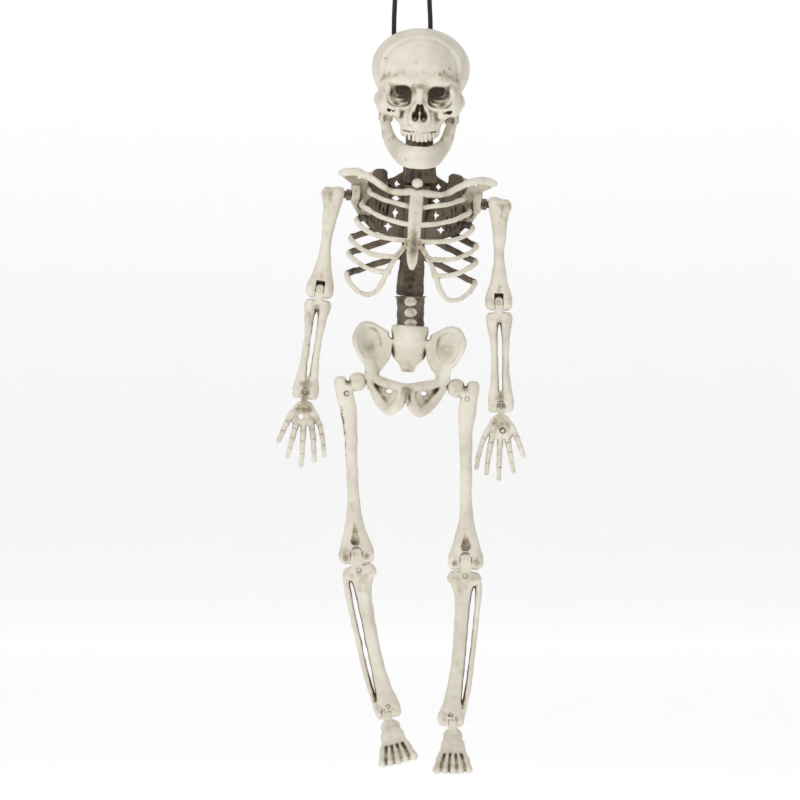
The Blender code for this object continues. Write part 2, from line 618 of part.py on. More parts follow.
def build_hand(name, side, bone, spot, tilt, lean):
    """A palm and five fingers, each from root to tip as (x outwards, z)."""
    levels = [
        (-18.6, 5.4, 1.5), (-16.0, 7.2, 1.9), (-12.4, 7.6, 2.2), (-9.0, 5.8, 2.3),
        (-6.0, 4.4, 2.2), (-4.7, 3.4, 1.8),
    ]
    hand = loft(f"hand_{name}", [(z, 0, 0, hx, hy) for z, hx, hy in levels], 10, 2.4)
    fingers = [
        [(5.0, -10.0), (8.4, -14.8), (10.6, -20.6), (12.8, -27.0)],
        [(3.0, -14.0), (3.9, -19.0), (5.6, -27.0), (7.4, -35.6)],
        [(-0.2, -15.0), (-0.3, -20.5), (-0.4, -30.0), (-0.4, -39.6)],
        [(-3.8, -14.0), (-5.3, -19.4), (-6.4, -28.0), (-7.3, -36.8)],
        [(-5.8, -12.0), (-8.9, -15.6), (-10.9, -24.0), (-12.8, -33.8)],
    ]
    pieces = [tongue(WRIST, 6.4, lean)]
    for run in fingers:
        path = [(side * x, 0.0, z) for x, z in run]
        thick, wide = [1.3, 1.3, 1.25, 1.0], [1.5, 1.45, 1.4, 1.1]
        pieces.append(band("finger", path, (0.0, 30.0), thick, wide, 6, 2.0))
    fuse(hand, *pieces)
    cuts = [tongue_bore(WRIST, lean)]
    if name == "right":
        cuts.append(rod("palm_hole", (side * 1.6, -6.0, -13.2), (side * 1.6, 6.0, -13.2), 1.5, 10))
    carve(hand, *cuts)
    return finish(hand, bone, spot, tilt)


# ---------------------------------------------------------------- legs

def build_femur(name, side, bone, spot, tilt):
    levels = [
        (-97.4, 5.0, 6.6, 2.4), (-95.8, 5.1, 8.8, 3.9), (-92.7, 5.2, 9.6, 4.9), (-88.5, 5.2, 8.9, 4.9),
        (-83.0, 5.3, 7.2, 4.4), (-77.0, 5.5, 5.6, 4.0), (-70.0, 5.4, 4.4, 3.6), (-60.0, 5.3, 3.5, 3.4),
        (-45.0, 5.3, 3.4, 3.4), (-32.0, 5.1, 3.6, 3.5), (-20.0, 5.2, 4.3, 3.8), (-10.0, 6.3, 4.8, 4.1),
        (-3.0, 8.0, 4.6, 4.3), (1.0, 8.9, 3.7, 3.7), (3.6, 9.0, 2.0, 2.2),
    ]
    femur = loft(f"femur_{name}", [(z, side * cx, 0, hx, hy) for z, cx, hx, hy in levels])
    head = ball("head", (0.0, 0.0, 0.0), (4.9, 4.9, 5.2), 10, 6)
    neck = rod("neck", (side * 1.0, 0.0, -0.6), (side * 8.0, 0.0, -3.2), 3.4, 12)
    fuse(femur, head, neck)
    lean = PELVIS_TILT - tilt
    inner = leaning((-side * 12.0, 0.0, 0.0), (0.0, 0.0, 0.0), lean)
    outer = leaning((side * 2.6, 0.0, 0.0), (0.0, 0.0, 0.0), lean)
    slot, bore = fork_slot(KNEE, FEMUR_LENGTH, 5.0)
    for cutter in (slot, bore):
        cutter.data.transform(Matrix.Translation((side * KNEE_OFFSET * MM, 0.0, 0.0)))
    carve(femur, rod("socket", inner, outer, HIP_PEG_RADIUS + 0.4, 12), slot, bore)
    return finish(femur, bone, spot, tilt)


def build_shin(name, side, bone, spot, tilt, lean):
    levels = [
        (-89.8, -1.0, 5.0, 2.4), (-88.4, -1.0, 6.4, 3.8), (-85.5, -1.0, 6.9, 4.4), (-80.0, -0.9, 6.6, 4.0),
        (-74.0, -1.0, 4.8, 3.4), (-60.0, 0.4, 3.6, 3.1), (-43.0, 0.6, 3.7, 3.2), (-26.0, 0.4, 4.0, 3.5),
        (-18.0, 0.0, 5.2, 4.0), (-12.6, 0.0, 7.4, 4.6), (-8.9, 0.0, 8.7, 4.8), (-6.3, 0.0, 6.4, 3.4),
    ]
    shin = loft(f"shin_{name}", [(z, side * cx, 0, hx, hy) for z, cx, hx, hy in levels])
    splint = [
        (6.2, 0.6, -10.4), (8.3, 0.8, -14.5), (8.2, 0.8, -28.0), (7.5, 0.6, -48.0),
        (7.0, 0.4, -66.0), (5.2, 0.2, -78.0), (4.2, 0.0, -86.0),
    ]
    sizes = [1.9, 2.1, 1.8, 1.7, 1.7, 1.9, 2.0]
    fibula = band("fibula", mirrored(splint, side), (0.0, 40.0), sizes, sizes, 8, 2.0)
    fuse(shin, tongue(KNEE, 8.6, lean), fibula)
    carve(shin, tongue_bore(KNEE, lean), *fork_slot(ANKLE, SHIN_LENGTH, 4.4))
    return finish(shin, bone, spot, tilt)


def build_foot(name, bone, spot, tilt, lean):
    """The foot droops forwards; it fans out towards its toes."""
    path = [
        (0.0, 0.9, -6.7), (0.0, 0.0, -10.6), (0.0, -4.4, -15.4), (0.0, -10.6, -20.4),
        (0.0, -16.6, -24.6), (0.0, -20.6, -27.4),
    ]
    wide = [4.5, 6.0, 7.0, 8.4, 10.2, 10.0]
    deep = [3.6, 4.8, 4.4, 3.2, 2.2, 1.2]
    rings = []
    turns = [rounded(math.tau * (i + 0.5) / 12, 2.6) for i in range(12)]
    for i, point in enumerate(path):
        along = Vector(path[min(i + 1, len(path) - 1)]) - Vector(path[max(i - 1, 0)])
        side, up = Vector((wide[i], 0.0, 0.0)), Vector((0.0, -along.z, along.y)).normalized()
        rings.append([Vector(point) + side * u + up * (deep[i] * v) for u, v in turns])
    foot = skin_rings(f"foot_{name}", rings)
    fuse(foot, ball("heel", (0.0, 5.4, -11.4), (5.4, 4.6, 4.8), 10, 6), tongue(ANKLE, 7.4, lean))
    carve(foot, tongue_bore(ANKLE, lean))
    return finish(foot, bone, spot, tilt)


def build_arm(name, side, bone, steel):
    upper, lower, hand = HUMERUS_TILT[name], FOREARM_TILT[name], HAND_TILT[name]
    shoulder = leaning((side * SHOULDER[0], *SHOULDER[1:]), TORSO_TOP, TORSO_TILT)
    elbow = below(shoulder, HUMERUS_LENGTH, upper)
    wrist = below(elbow, FOREARM_LENGTH, lower)
    build_humerus(name, side, bone, shoulder, upper)
    build_forearm(name, bone, elbow, lower, upper - lower)
    build_hand(name, side, bone, wrist, hand, lower - hand)
    hinge_pin(f"elbow_pin_{name}", ELBOW, elbow, upper, steel)
    hinge_pin(f"wrist_pin_{name}", WRIST, wrist, lower, steel)


def build_leg(name, side, bone, steel):
    upper, lower, foot = FEMUR_TILT[name], SHIN_TILT[name], FOOT_TILT[name]
    hip = leaning((side * HIP[0], *HIP[1:]), PELVIS_TOP, PELVIS_TILT)
    knee = below(hip, FEMUR_LENGTH, upper, side * KNEE_OFFSET)
    ankle = below(knee, SHIN_LENGTH, lower)
    build_femur(name, side, bone, hip, upper)
    build_shin(name, side, bone, knee, lower, upper - lower)
    build_foot(name, bone, ankle, foot, lower - foot)
    hinge_pin(f"knee_pin_{name}", KNEE, knee, upper, steel)
    hinge_pin(f"ankle_pin_{name}", ANKLE, ankle, lower, steel)


# ---------------------------------------------------------------- hanging cord

def smooth_route(points, count):
    """Evenly shared points on a smooth curve through the route's own points."""
    knots = [Vector(p) for p in points]
    ends = [2 * knots[0] - knots[1], *knots, 2 * knots[-1] - knots[-2]]
    route = []
    for i in range(count):
        place = (len(knots) - 1) * i / (count - 1)
        k = min(int(place), len(knots) - 2)
        t = place - k
        a, b, c, d = ends[k:k + 4]
        bend = (2 * a - 5 * b + 4 * c - d) * t + (3 * b - a - 3 * c + d) * t * t
        route.append(b + 0.5 * t * ((c - a) + bend))
    return route


def build_cord(black):
    curve = bpy.data.curves.new("hanging_cord", "CURVE")
    curve.dimensions = "3D"
    curve.bevel_depth = CORD_RADIUS * MM
    curve.bevel_resolution = 2
    curve.use_fill_caps = True
    spline = curve.splines.new("POLY")
    route = smooth_route(CORD_ROUTE, CORD_POINTS)
    spline.points.add(len(route) - 1)
    for spot, point in zip(spline.points, route):
        spot.co = (*(point * MM), 1.0)
    curve.materials.append(black)
    cord = bpy.data.objects.new("hanging_cord", curve)
    bpy.context.collection.objects.link(cord)
    for name, end in (("right", CORD_ROUTE[0]), ("left", CORD_ROUTE[-1])):
        centre = (end[0], end[1], end[2] - KNOT_RADIUS - GAP)
        finish(ball(f"cord_knot_{name}", centre, (KNOT_RADIUS,) * 3, 10, 6), black)


# ---------------------------------------------------------------- the figure

def build_figure():
    clear_scene()
    bone = plastic("ivory_plastic", (0.76, 0.71, 0.58), 0.5)
    wash = plastic("brown_washed_plastic", (0.16, 0.12, 0.08), 0.6)
    steel = plastic("pin_plastic", (0.62, 0.57, 0.45), 0.5)
    black = plastic("black_cord", (0.015, 0.015, 0.015), 0.85)
    build_skull(bone)
    build_jaw(bone, steel)
    build_neck(wash)
    build_ribcage_front(bone)
    build_ribcage_back(wash)
    build_shoulder_pegs(wash)
    build_lumbar(bone, wash)
    build_pelvis(bone)
    build_hip_pegs(bone)
    for name, side in SIDES.items():
        build_arm(name, side, bone, steel)
        build_leg(name, side, bone, steel)
    build_cord(black)


build_figure()
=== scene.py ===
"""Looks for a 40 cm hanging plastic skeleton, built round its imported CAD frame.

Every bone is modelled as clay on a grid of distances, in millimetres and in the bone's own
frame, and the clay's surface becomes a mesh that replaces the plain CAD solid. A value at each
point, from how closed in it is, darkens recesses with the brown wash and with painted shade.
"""

import math

import bpy
import numpy as np
from mathutils import Matrix, Vector


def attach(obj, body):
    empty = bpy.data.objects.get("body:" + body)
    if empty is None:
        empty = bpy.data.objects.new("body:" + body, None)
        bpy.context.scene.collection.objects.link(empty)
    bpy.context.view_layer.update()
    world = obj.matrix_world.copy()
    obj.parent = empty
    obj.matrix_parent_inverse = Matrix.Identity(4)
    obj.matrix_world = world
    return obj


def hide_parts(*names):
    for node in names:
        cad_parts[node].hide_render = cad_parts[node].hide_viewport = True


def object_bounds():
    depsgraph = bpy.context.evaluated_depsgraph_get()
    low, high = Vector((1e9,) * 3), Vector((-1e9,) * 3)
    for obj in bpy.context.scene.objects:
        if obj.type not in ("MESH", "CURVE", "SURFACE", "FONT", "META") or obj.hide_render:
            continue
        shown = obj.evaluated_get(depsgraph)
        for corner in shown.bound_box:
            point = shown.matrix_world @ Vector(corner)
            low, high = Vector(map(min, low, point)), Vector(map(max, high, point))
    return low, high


MM = 0.001
FAR = 60.0
SIDES = {"right": -1, "left": 1}

# The bones' frames: where each joint is, and how far each bone leans, as in the CAD source.
HEAD_CENTRE, HEAD_TILT = (4.7, 0.0, -67.7), 2.5
JAW_HINGE = (0.0, 3.0, -27.0)
NECK_AXIS = (3.9, 6.0)
TORSO_TOP, TORSO_TILT = (2.6, 0.0, -134.4), 4.0
LUMBAR_CENTRE = (-0.9, 6.0, -199.7)
PELVIS_TOP, PELVIS_TILT = (-1.2, 0.0, -210.7), 3.5
SHOULDER = (44.8, 4.0, -5.0)
HUMERUS_LENGTH, FOREARM_LENGTH = 52.5, 55.5
HIP = (26.6, 2.0, -28.5)
KNEE_OFFSET, FEMUR_LENGTH, SHIN_LENGTH = 5.2, 92.7, 85.5
HUMERUS_TILT = {"right": 8.0, "left": 0.3}
FOREARM_TILT = {"right": 8.0, "left": -1.2}
HAND_TILT = {"right": 4.0, "left": 1.0}
FEMUR_TILT = {"right": -2.9, "left": 0.0}
SHIN_TILT = {"right": -10.8, "left": 4.6}
FOOT_TILT = {"right": -14.0, "left": 0.6}

GAP = 0.3
PEG_RADIUS, HIP_PEG_RADIUS, JAW_PIN_RADIUS = 1.9, 1.6, 1.0
# Each hinge: its tongue's radius and half width, and its pin's radius.
ELBOW = {"disc": 3.4, "half": 2.1, "pin": 1.1}
WRIST = {"disc": 2.9, "half": 1.9, "pin": 1.0}
KNEE = {"disc": 4.3, "half": 2.9, "pin": 1.4}
ANKLE = {"disc": 3.4, "half": 2.4, "pin": 1.1}

CORD_RADIUS = 1.3
CORD_ROUTE = [
    (-9.8, 4.0, -54.7), (-9.8, 4.0, -51.0), (-9.8, 4.0, -47.0), (-9.7, 3.7, -42.0),
    (-9.5, 3.2, -37.0), (-9.2, 2.6, -31.0), (-8.8, 2.0, -25.0), (-8.2, 1.3, -19.0),
    (-7.5, 0.7, -13.5), (-6.6, 0.2, -8.6), (-5.2, 0.0, -4.8), (-2.9, 0.0, -2.2),
    (0.0, 0.0, -1.3), (2.9, 0.0, -2.2), (5.2, 0.0, -4.8), (6.6, 0.2, -8.6),
    (7.5, 0.7, -13.5), (8.2, 1.3, -19.0), (8.8, 2.0, -25.0), (9.2, 2.6, -31.0),
    (9.5, 3.2, -37.0), (9.7, 3.7, -41.0), (9.8, 4.0, -45.0), (9.8, 4.0, -50.2),
]

KNOT_RADIUS = 2.5
BRAID_STRANDS, BRAID_DEPTH, BRAID_TWIST = 4, 0.05, 2.0

# The camera's lens and sensor, the width that it shows, and the point that it looks at (across, up).
LENS, SENSOR, SHOWN_WIDTH = 200.0, 36.0, 430.1
LOOK_AT = (-6.56, -247.3)

# The studio, in metres: a floor that curves up into a wall behind the figure, and the lights.
FLOOR_HEIGHT, FLOOR_REACH, FLOOR_END, FLOOR_CURVE, WALL_TOP = -0.52, 6.0, 2.6, 0.7, 5.0
LIGHT_AIM = (0.0, 0.0, -0.22)
LIGHTS = [
    {"name": "key", "place": (-0.85, -1.15, 0.55), "size": 0.7, "power": 7.6},
    {"name": "fill", "place": (0.95, -1.35, 0.0), "size": 1.0, "power": 2.2},
    {"name": "top", "place": (0.0, -0.25, 1.05), "size": 0.8, "power": 3.6},
    {"name": "low", "place": (0.0, -1.6, -0.75), "size": 0.9, "power": 0.8},
]
WHITE = (1.0, 1.0, 1.0, 1.0)
PAPER_COLOUR, PAPER_ROUGHNESS, PAPER_GLOW, WORLD_GLOW = (0.92, 0.92, 0.92, 1.0), 0.9, 0.45, 0.28

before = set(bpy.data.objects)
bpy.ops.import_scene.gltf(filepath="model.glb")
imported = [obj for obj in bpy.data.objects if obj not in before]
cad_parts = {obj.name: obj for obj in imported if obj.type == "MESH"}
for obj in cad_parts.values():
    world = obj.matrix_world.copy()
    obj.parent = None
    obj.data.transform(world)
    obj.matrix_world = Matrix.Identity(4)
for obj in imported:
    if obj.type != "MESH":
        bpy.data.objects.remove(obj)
CAD_BOX = [np.array(corner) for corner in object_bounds()]


# ---------------------------------------------------------------- places

def leaning(spot, origin, tilt):
    turn = Matrix.Rotation(math.radians(tilt), 3, "Y")
    return tuple(Vector(origin) + turn @ Vector(spot))


def below(origin, length, tilt, sideways=0.0):
    return leaning((sideways, 0.0, -length), origin, tilt)


# ---------------------------------------------------------------- clay

CORNERS = [(i, j, k) for i in (0, 1) for j in (0, 1) for k in (0, 1)]
EDGES = [
    (a, b) for a in range(8) for b in range(a + 1, 8)
    if sum(abs(p - q) for p, q in zip(CORNERS[a], CORNERS[b])) == 1
]


def smooth_min(a, b, k):
    if k <= 0.0:
        return np.minimum(a, b)
    h = np.clip(0.5 + 0.5 * (b - a) / k, 0.0, 1.0)
    return b + (a - b) * h - k * h * (1.0 - h)


class Clay:
    """A solid as distances on a grid, negative inside."""

    def __init__(self, low, high, step):
        self.low, self.step = np.array(low, float), step
        counts = [int(math.ceil((h - l) / step)) + 1 for l, h in zip(low, high)]
        self.axes = [l + step * np.arange(n) for l, n in zip(self.low, counts)]
        self.field = np.full(counts, FAR, np.float32)
        self.skin = None

    def window(self, low, high, margin):
        cuts = []
        for axis, lo, hi in zip(self.axes, low, high):
            first = max(int((lo - margin - axis[0]) / self.step), 0)
            last = min(int((hi + margin - axis[0]) / self.step) + 2, len(axis))
            cuts.append(slice(min(first, len(axis)), max(last, first)))
        spots = [axis[cut] for axis, cut in zip(self.axes, cuts)]
        grids = np.meshgrid(*spots, indexing="ij", sparse=True)
        return tuple(cuts), [g.astype(np.float32) for g in grids]

    def add(self, shape, blend=0.0):
        low, high, distance = shape
        cuts, spots = self.window(low, high, 3.2 + blend)
        if 0 not in self.field[cuts].shape:
            self.field[cuts] = smooth_min(self.field[cuts], distance(*spots), blend)
        return self

    def cut(self, shape, blend=0.0):
        low, high, distance = shape
        cuts, spots = self.window(low, high, 3.2 + blend)
        if 0 not in self.field[cuts].shape:
            self.field[cuts] = -smooth_min(-self.field[cuts], distance(*spots), blend)
        return self

    def score(self, shape, depth):
        """Cuts a shape only to a shallow depth below the surface."""
        low, high, distance = shape
        cuts, spots = self.window(low, high, 3.2)
        if 0 not in self.field[cuts].shape:
            part = self.field[cuts]
            self.field[cuts] = np.maximum(part, np.minimum(-distance(*spots), part + depth))
        return self

    def remember(self):
        """Keeps the form before it is hollowed, so that deep places can be told from open ones."""
        self.skin = self.field.copy()
        return self

    def keep(self, distance, blend=0.0):
        """Keeps only what is inside another shape."""
        spots = [g.astype(np.float32) for g in np.meshgrid(*self.axes, indexing="ij", sparse=True)]
        self.field = -smooth_min(-self.field, -distance(*spots), blend)
        return self

    def wobble(self, size, depth, seed):
        """Uneven hand-made surface: a few crossed waves."""
        spots = np.meshgrid(*self.axes, indexing="ij", sparse=True)
        rng = np.random.default_rng(seed)
        total = np.zeros_like(self.field)
        for _ in range(5):
            way = rng.normal(size=3)
            way *= math.tau / (size * rng.uniform(0.7, 1.5)) / np.linalg.norm(way)
            phase = rng.uniform(0.0, math.tau)
            total += np.sin(spots[0] * way[0] + spots[1] * way[1] + spots[2] * way[2] + phase)
        self.field += (depth / 2.2 * total).astype(np.float32)
        return self

    def even(self):
        """Scales the field so that it is close to a true distance near the surface."""
        grade = np.gradient(self.field, self.step)
        steep = np.sqrt(grade[0] ** 2 + grade[1] ** 2 + grade[2] ** 2)
        near = np.abs(self.field) < 8.0
        self.field = np.where(near, self.field / np.clip(steep, 0.5, 4.0), self.field).astype(np.float32)
        return self

    def front(self, x, z):
        """The Y at which a line along Y first meets the clay."""
        line = np.arange(self.axes[1][0], self.axes[1][-1], 0.1)
        spots = np.stack([np.full_like(line, x), line, np.full_like(line, z)], axis=1)
        inside = self.sample(spots) < 0
        return float(line[inside.argmax()])

    def sample(self, points, field=None):
        """The distance at any points, from the eight grid values round each."""
        field = self.field if field is None else field
        places = (points - self.low) / self.step
        top = np.array(self.field.shape) - 2
        base = np.clip(np.floor(places).astype(int), 0, top)
        share = np.clip(places - base, 0.0, 1.0)
        value = np.zeros(len(points))
        for i, j, k in CORNERS:
            weight = (
                np.where(i, share[:, 0], 1 - share[:, 0])
                * np.where(j, share[:, 1], 1 - share[:, 1])
                * np.where(k, share[:, 2], 1 - share[:, 2])
            )
            value += weight * field[base[:, 0] + i, base[:, 1] + j, base[:, 2] + k]
        return value

    def slope(self, points):
        reach = self.step * 0.9
        grade = np.empty((len(points), 3))
        for axis in range(3):
            step = np.zeros(3)
            step[axis] = reach
            grade[:, axis] = self.sample(points + step) - self.sample(points - step)
        length = np.linalg.norm(grade, axis=1, keepdims=True)
        return grade / np.maximum(length, 1e-9)

    def surface(self):
        """Points and four-sided faces on the clay's surface, by surface nets."""
        for axis in range(3):
            for end in (0, -1):
                place = [slice(None)] * 3
                place[axis] = end
                self.field[tuple(place)] = np.maximum(self.field[tuple(place)], self.step)
        inside = self.field < 0
        nx, ny, nz = (n - 1 for n in inside.shape)
        count = np.zeros((nx, ny, nz), np.int8)
        for i, j, k in CORNERS:
            count += inside[i:nx + i, j:ny + j, k:nz + k]
        active = (count > 0) & (count < 8)
        cells = np.argwhere(active)
        values = np.stack(
            [self.field[cells[:, 0] + i, cells[:, 1] + j, cells[:, 2] + k] for i, j, k in CORNERS],
            axis=1,
        ).astype(float)
        total, hits = np.zeros((len(cells), 3)), np.zeros(len(cells))
        for a, b in EDGES:
            crossed = (values[:, a] < 0) != (values[:, b] < 0)
            va, vb = values[crossed, a], values[crossed, b]
            part = (va / (va - vb))[:, None]
            ends = np.array(CORNERS[a]), np.array(CORNERS[b])
            total[crossed] += ends[0] + part * (ends[1] - ends[0])
            hits[crossed] += 1
        points = self.low + self.step * (cells + total / hits[:, None])
        for _ in range(2):
            points -= self.slope(points) * np.clip(self.sample(points), -0.3, 0.3)[:, None] * 0.7
        number = np.full(active.shape, -1, np.int64)
        number[active] = np.arange(len(cells))
        quads = []
        for axis in range(3):
            u, v = (axis + 1) % 3, (axis + 2) % 3
            low = [slice(None)] * 3
            high = [slice(None)] * 3
            low[axis], high[axis] = slice(None, -1), slice(1, None)
            changed = inside[tuple(low)] != inside[tuple(high)]
            spots = np.argwhere(changed)
            keep = (spots[:, u] > 0) & (spots[:, v] > 0)
            keep &= (spots[:, u] < active.shape[u]) & (spots[:, v] < active.shape[v])
            spots = spots[keep]
            corners = []
            for du, dv in ((1, 1), (0, 1), (0, 0), (1, 0)):
                at = spots.copy()
                at[:, u] -= du
                at[:, v] -= dv
                corners.append(number[at[:, 0], at[:, 1], at[:, 2]])
            faces = np.stack(corners, axis=1)
            leaves = inside[spots[:, 0], spots[:, 1], spots[:, 2]]
            faces[~leaves] = faces[~leaves][:, ::-1]
            quads.append(faces)
        return points, np.concatenate(quads)


# ---------------------------------------------------------------- shapes, as (low, high, distance)

def ellipsoid(centre, radii):
    cx, cy, cz = centre
    rx, ry, rz = radii

    def distance(x, y, z):
        a, b, c = (x - cx) / rx, (y - cy) / ry, (z - cz) / rz
        k0 = np.sqrt(a * a + b * b + c * c)
        k1 = np.sqrt((a / rx) ** 2 + (b / ry) ** 2 + (c / rz) ** 2)
        return k0 * (k0 - 1.0) / np.maximum(k1, 1e-6)

    low = [c - r for c, r in zip(centre, radii)]
    high = [c + r for c, r in zip(centre, radii)]
    return low, high, distance


def tube(points, radii, flat=(1.0, 1.0, 1.0)):
    """A bar along points. flat shrinks its section along X, Y or Z."""
    spots = np.array(points, float)
    sizes = np.full(len(spots), float(radii)) if np.isscalar(radii) else np.array(radii, float)
    flat = np.array(flat, float)
    shrink = float(flat.min())
    reach = sizes[:, None] * flat

    def distance(x, y, z):
        best = None
        for i in range(len(spots) - 1):
            a, b = spots[i] / flat, spots[i + 1] / flat
            ab = b - a
            px, py, pz = x / flat[0] - a[0], y / flat[1] - a[1], z / flat[2] - a[2]
            t = np.clip((px * ab[0] + py * ab[1] + pz * ab[2]) / max(ab @ ab, 1e-9), 0.0, 1.0)
            d = np.sqrt((px - t * ab[0]) ** 2 + (py - t * ab[1]) ** 2 + (pz - t * ab[2]) ** 2)
            d = (d - (sizes[i] + t * (sizes[i + 1] - sizes[i]))) * shrink
            best = d if best is None else np.minimum(best, d)
        return best

    return (spots - reach).min(0), (spots + reach).max(0), distance


def smooth_line(points, count):
    """Evenly shared points on a smooth curve through the given points, of any width."""
    knots = np.array(points, float)
    ends = np.vstack([2 * knots[0] - knots[1], knots, 2 * knots[-1] - knots[-2]])
    line = []
    for i in range(count):
        place = (len(knots) - 1) * i / (count - 1)
        k = min(int(place), len(knots) - 2)
        t = place - k
        a, b, c, d = ends[k:k + 4]
        bend = (2 * a - 5 * b + 4 * c - d) * t + (3 * b - a - 3 * c + d) * t * t
        line.append(b + 0.5 * t * ((c - a) + bend))
    return np.array(line)


def stack(levels, power=2.0, round_end=1.5):
    """A solid of level outlines, each (z, centre x, centre y, half x, half y), from low to high."""
    table = smooth_line(levels, 12 * len(levels))
    table = table[np.argsort(table[:, 0])]
    z_low, z_high = levels[0][0], levels[-1][0]
    wide = max(max(l[3], l[4]) + abs(l[1]) for l in levels)
    deep = [(l[2] - l[4], l[2] + l[4]) for l in levels]

    def distance(x, y, z):
        cx, cy, hx, hy = [np.interp(z, table[:, 0], table[:, n]).astype(np.float32) for n in (1, 2, 3, 4)]
        dx, dy = x - cx, y - cy
        r = np.sqrt(dx * dx + dy * dy)
        q = ((np.abs(dx) / hx) ** power + (np.abs(dy) / hy) ** power) ** (1.0 / power)
        side = np.where(q > 0.05, r - r / np.maximum(q, 0.05), -np.minimum(hx, hy))
        end = np.maximum(z_low - z, z - z_high)
        return -smooth_min(-side, -end, round_end)

    low = (-wide, min(d[0] for d in deep), z_low)
    high = (wide, max(d[1] for d in deep), z_high)
    return low, high, distance


def slab(low, high, rounding=0.4):
    """A block with rounded edges."""
    centre = [(a + b) / 2 for a, b in zip(low, high)]
    half = [max((b - a) / 2 - rounding, 0.01) for a, b in zip(low, high)]

    def distance(x, y, z):
        qx, qy, qz = abs(x - centre[0]) - half[0], abs(y - centre[1]) - half[1], abs(z - centre[2]) - half[2]
        out = np.sqrt(np.maximum(qx, 0) ** 2 + np.maximum(qy, 0) ** 2 + np.maximum(qz, 0) ** 2)
        return out + np.minimum(np.maximum(np.maximum(qx, qy), qz), 0) - rounding

    return low, high, distance


def disc(centre, axis, radius, half, rounding=0.3):
    """A round plate or bore about a direction."""
    way = Vector(axis).normalized()
    cx, cy, cz = centre

    def distance(x, y, z):
        dx, dy, dz = x - cx, y - cy, z - cz
        along = dx * way[0] + dy * way[1] + dz * way[2]
        across = np.sqrt(np.maximum(dx * dx + dy * dy + dz * dz - along * along, 0.0))
        a, b = across - (radius - rounding), np.abs(along) - (half - rounding)
        out = np.sqrt(np.maximum(a, 0) ** 2 + np.maximum(b, 0) ** 2)
        return out + np.minimum(np.maximum(a, b), 0) - rounding

    reach = [half * abs(w) + radius * math.sqrt(max(1 - w * w, 0)) for w in way]
    low = [c - r for c, r in zip(centre, reach)]
    high = [c + r for c, r in zip(centre, reach)]
    return low, high, distance


def mirrored(points, side):
    return [(side * p[0], *p[1:]) for p in points]


# ---------------------------------------------------------------- clay to pieces

def make_mesh(name, points, faces, values):
    mesh = bpy.data.meshes.new(name)
    width = faces.shape[1]
    mesh.vertices.add(len(points))
    mesh.vertices.foreach_set("co", points.astype(np.float32).ravel())
    mesh.loops.add(faces.size)
    mesh.loops.foreach_set("vertex_index", faces.astype(np.int32).ravel())
    mesh.polygons.add(len(faces))
    mesh.polygons.foreach_set("loop_start", np.arange(len(faces), dtype=np.int32) * width)
    mesh.update(calc_edges=True)
    for key, data in values.items():
        attribute = mesh.attributes.new(key, "FLOAT", "POINT")
        attribute.data.foreach_set("value", data.astype(np.float32))
    mesh.shade_smooth()
    return mesh


def recess_wash_and_shade(clay, points, normals):
    """How closed in each point is, from 0 in the open to 1 in a deep recess, and how raised. Closed-in
    points take the brown wash and painted shade.
    """
    closed = np.zeros(len(points))
    for reach, weight in ((0.8, 0.30), (1.6, 0.35), (3.0, 0.35)):
        free = clay.sample(points + normals * reach)
        closed += weight * np.clip(1.0 - free / reach, 0.0, 1.0)
    behind = -clay.sample(points - normals * 0.9)
    raised = np.clip(1.0 - behind / 0.9, 0.0, 1.0)
    return np.clip(closed, 0.0, 1.0), raised


def piece(name, clay, body, material, origin=(0, 0, 0), tilt=0.0, nodes=None, stains_and_shade=(),
          second=None):
    """Makes the clay a shown piece in place of its CAD node, riding on a body.

    second is another material and a test of the points that take it."""
    points, faces = clay.surface()
    normals = clay.slope(points)
    # How closed in each point is darkens it: brown wash and painted shade in recesses.
    closed, raised = recess_wash_and_shade(clay, points, normals)
    extra = np.zeros(len(points))
    # Placed dark spots: stains, and in places painted shade where a spot stands for a hollow.
    for spot, radius, depth in stains_and_shade:
        away = np.linalg.norm(points - np.array(spot), axis=1)
        extra = np.maximum(extra, depth * np.clip(1.5 - away / radius, 0.0, 1.0))
    if clay.skin is not None:
        extra += 0.62 * np.clip((-clay.sample(points, clay.skin) - 0.5) / 2.0, 0.0, 1.0)
    turn = np.array(Matrix.Rotation(math.radians(tilt), 3, "Y"))
    world = np.clip((points @ turn.T + np.array(origin)) * MM, CAD_BOX[0], CAD_BOX[1])
    mesh = make_mesh(name, world, faces, {"recess_wash_and_shade": closed, "raised": raised, "stain_and_shade": extra})
    mesh.materials.append(material)
    if second is not None:
        mesh.materials.append(second[0])
        chosen = second[1](points[faces].mean(axis=1)).astype(np.int32)
        mesh.polygons.foreach_set("material_index", chosen)
    thing = bpy.data.objects.new(name, mesh)
    bpy.context.collection.objects.link(thing)
    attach(thing, body)
    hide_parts(*(nodes or [name[5:]]))
    return thing


# ---------------------------------------------------------------- finishes

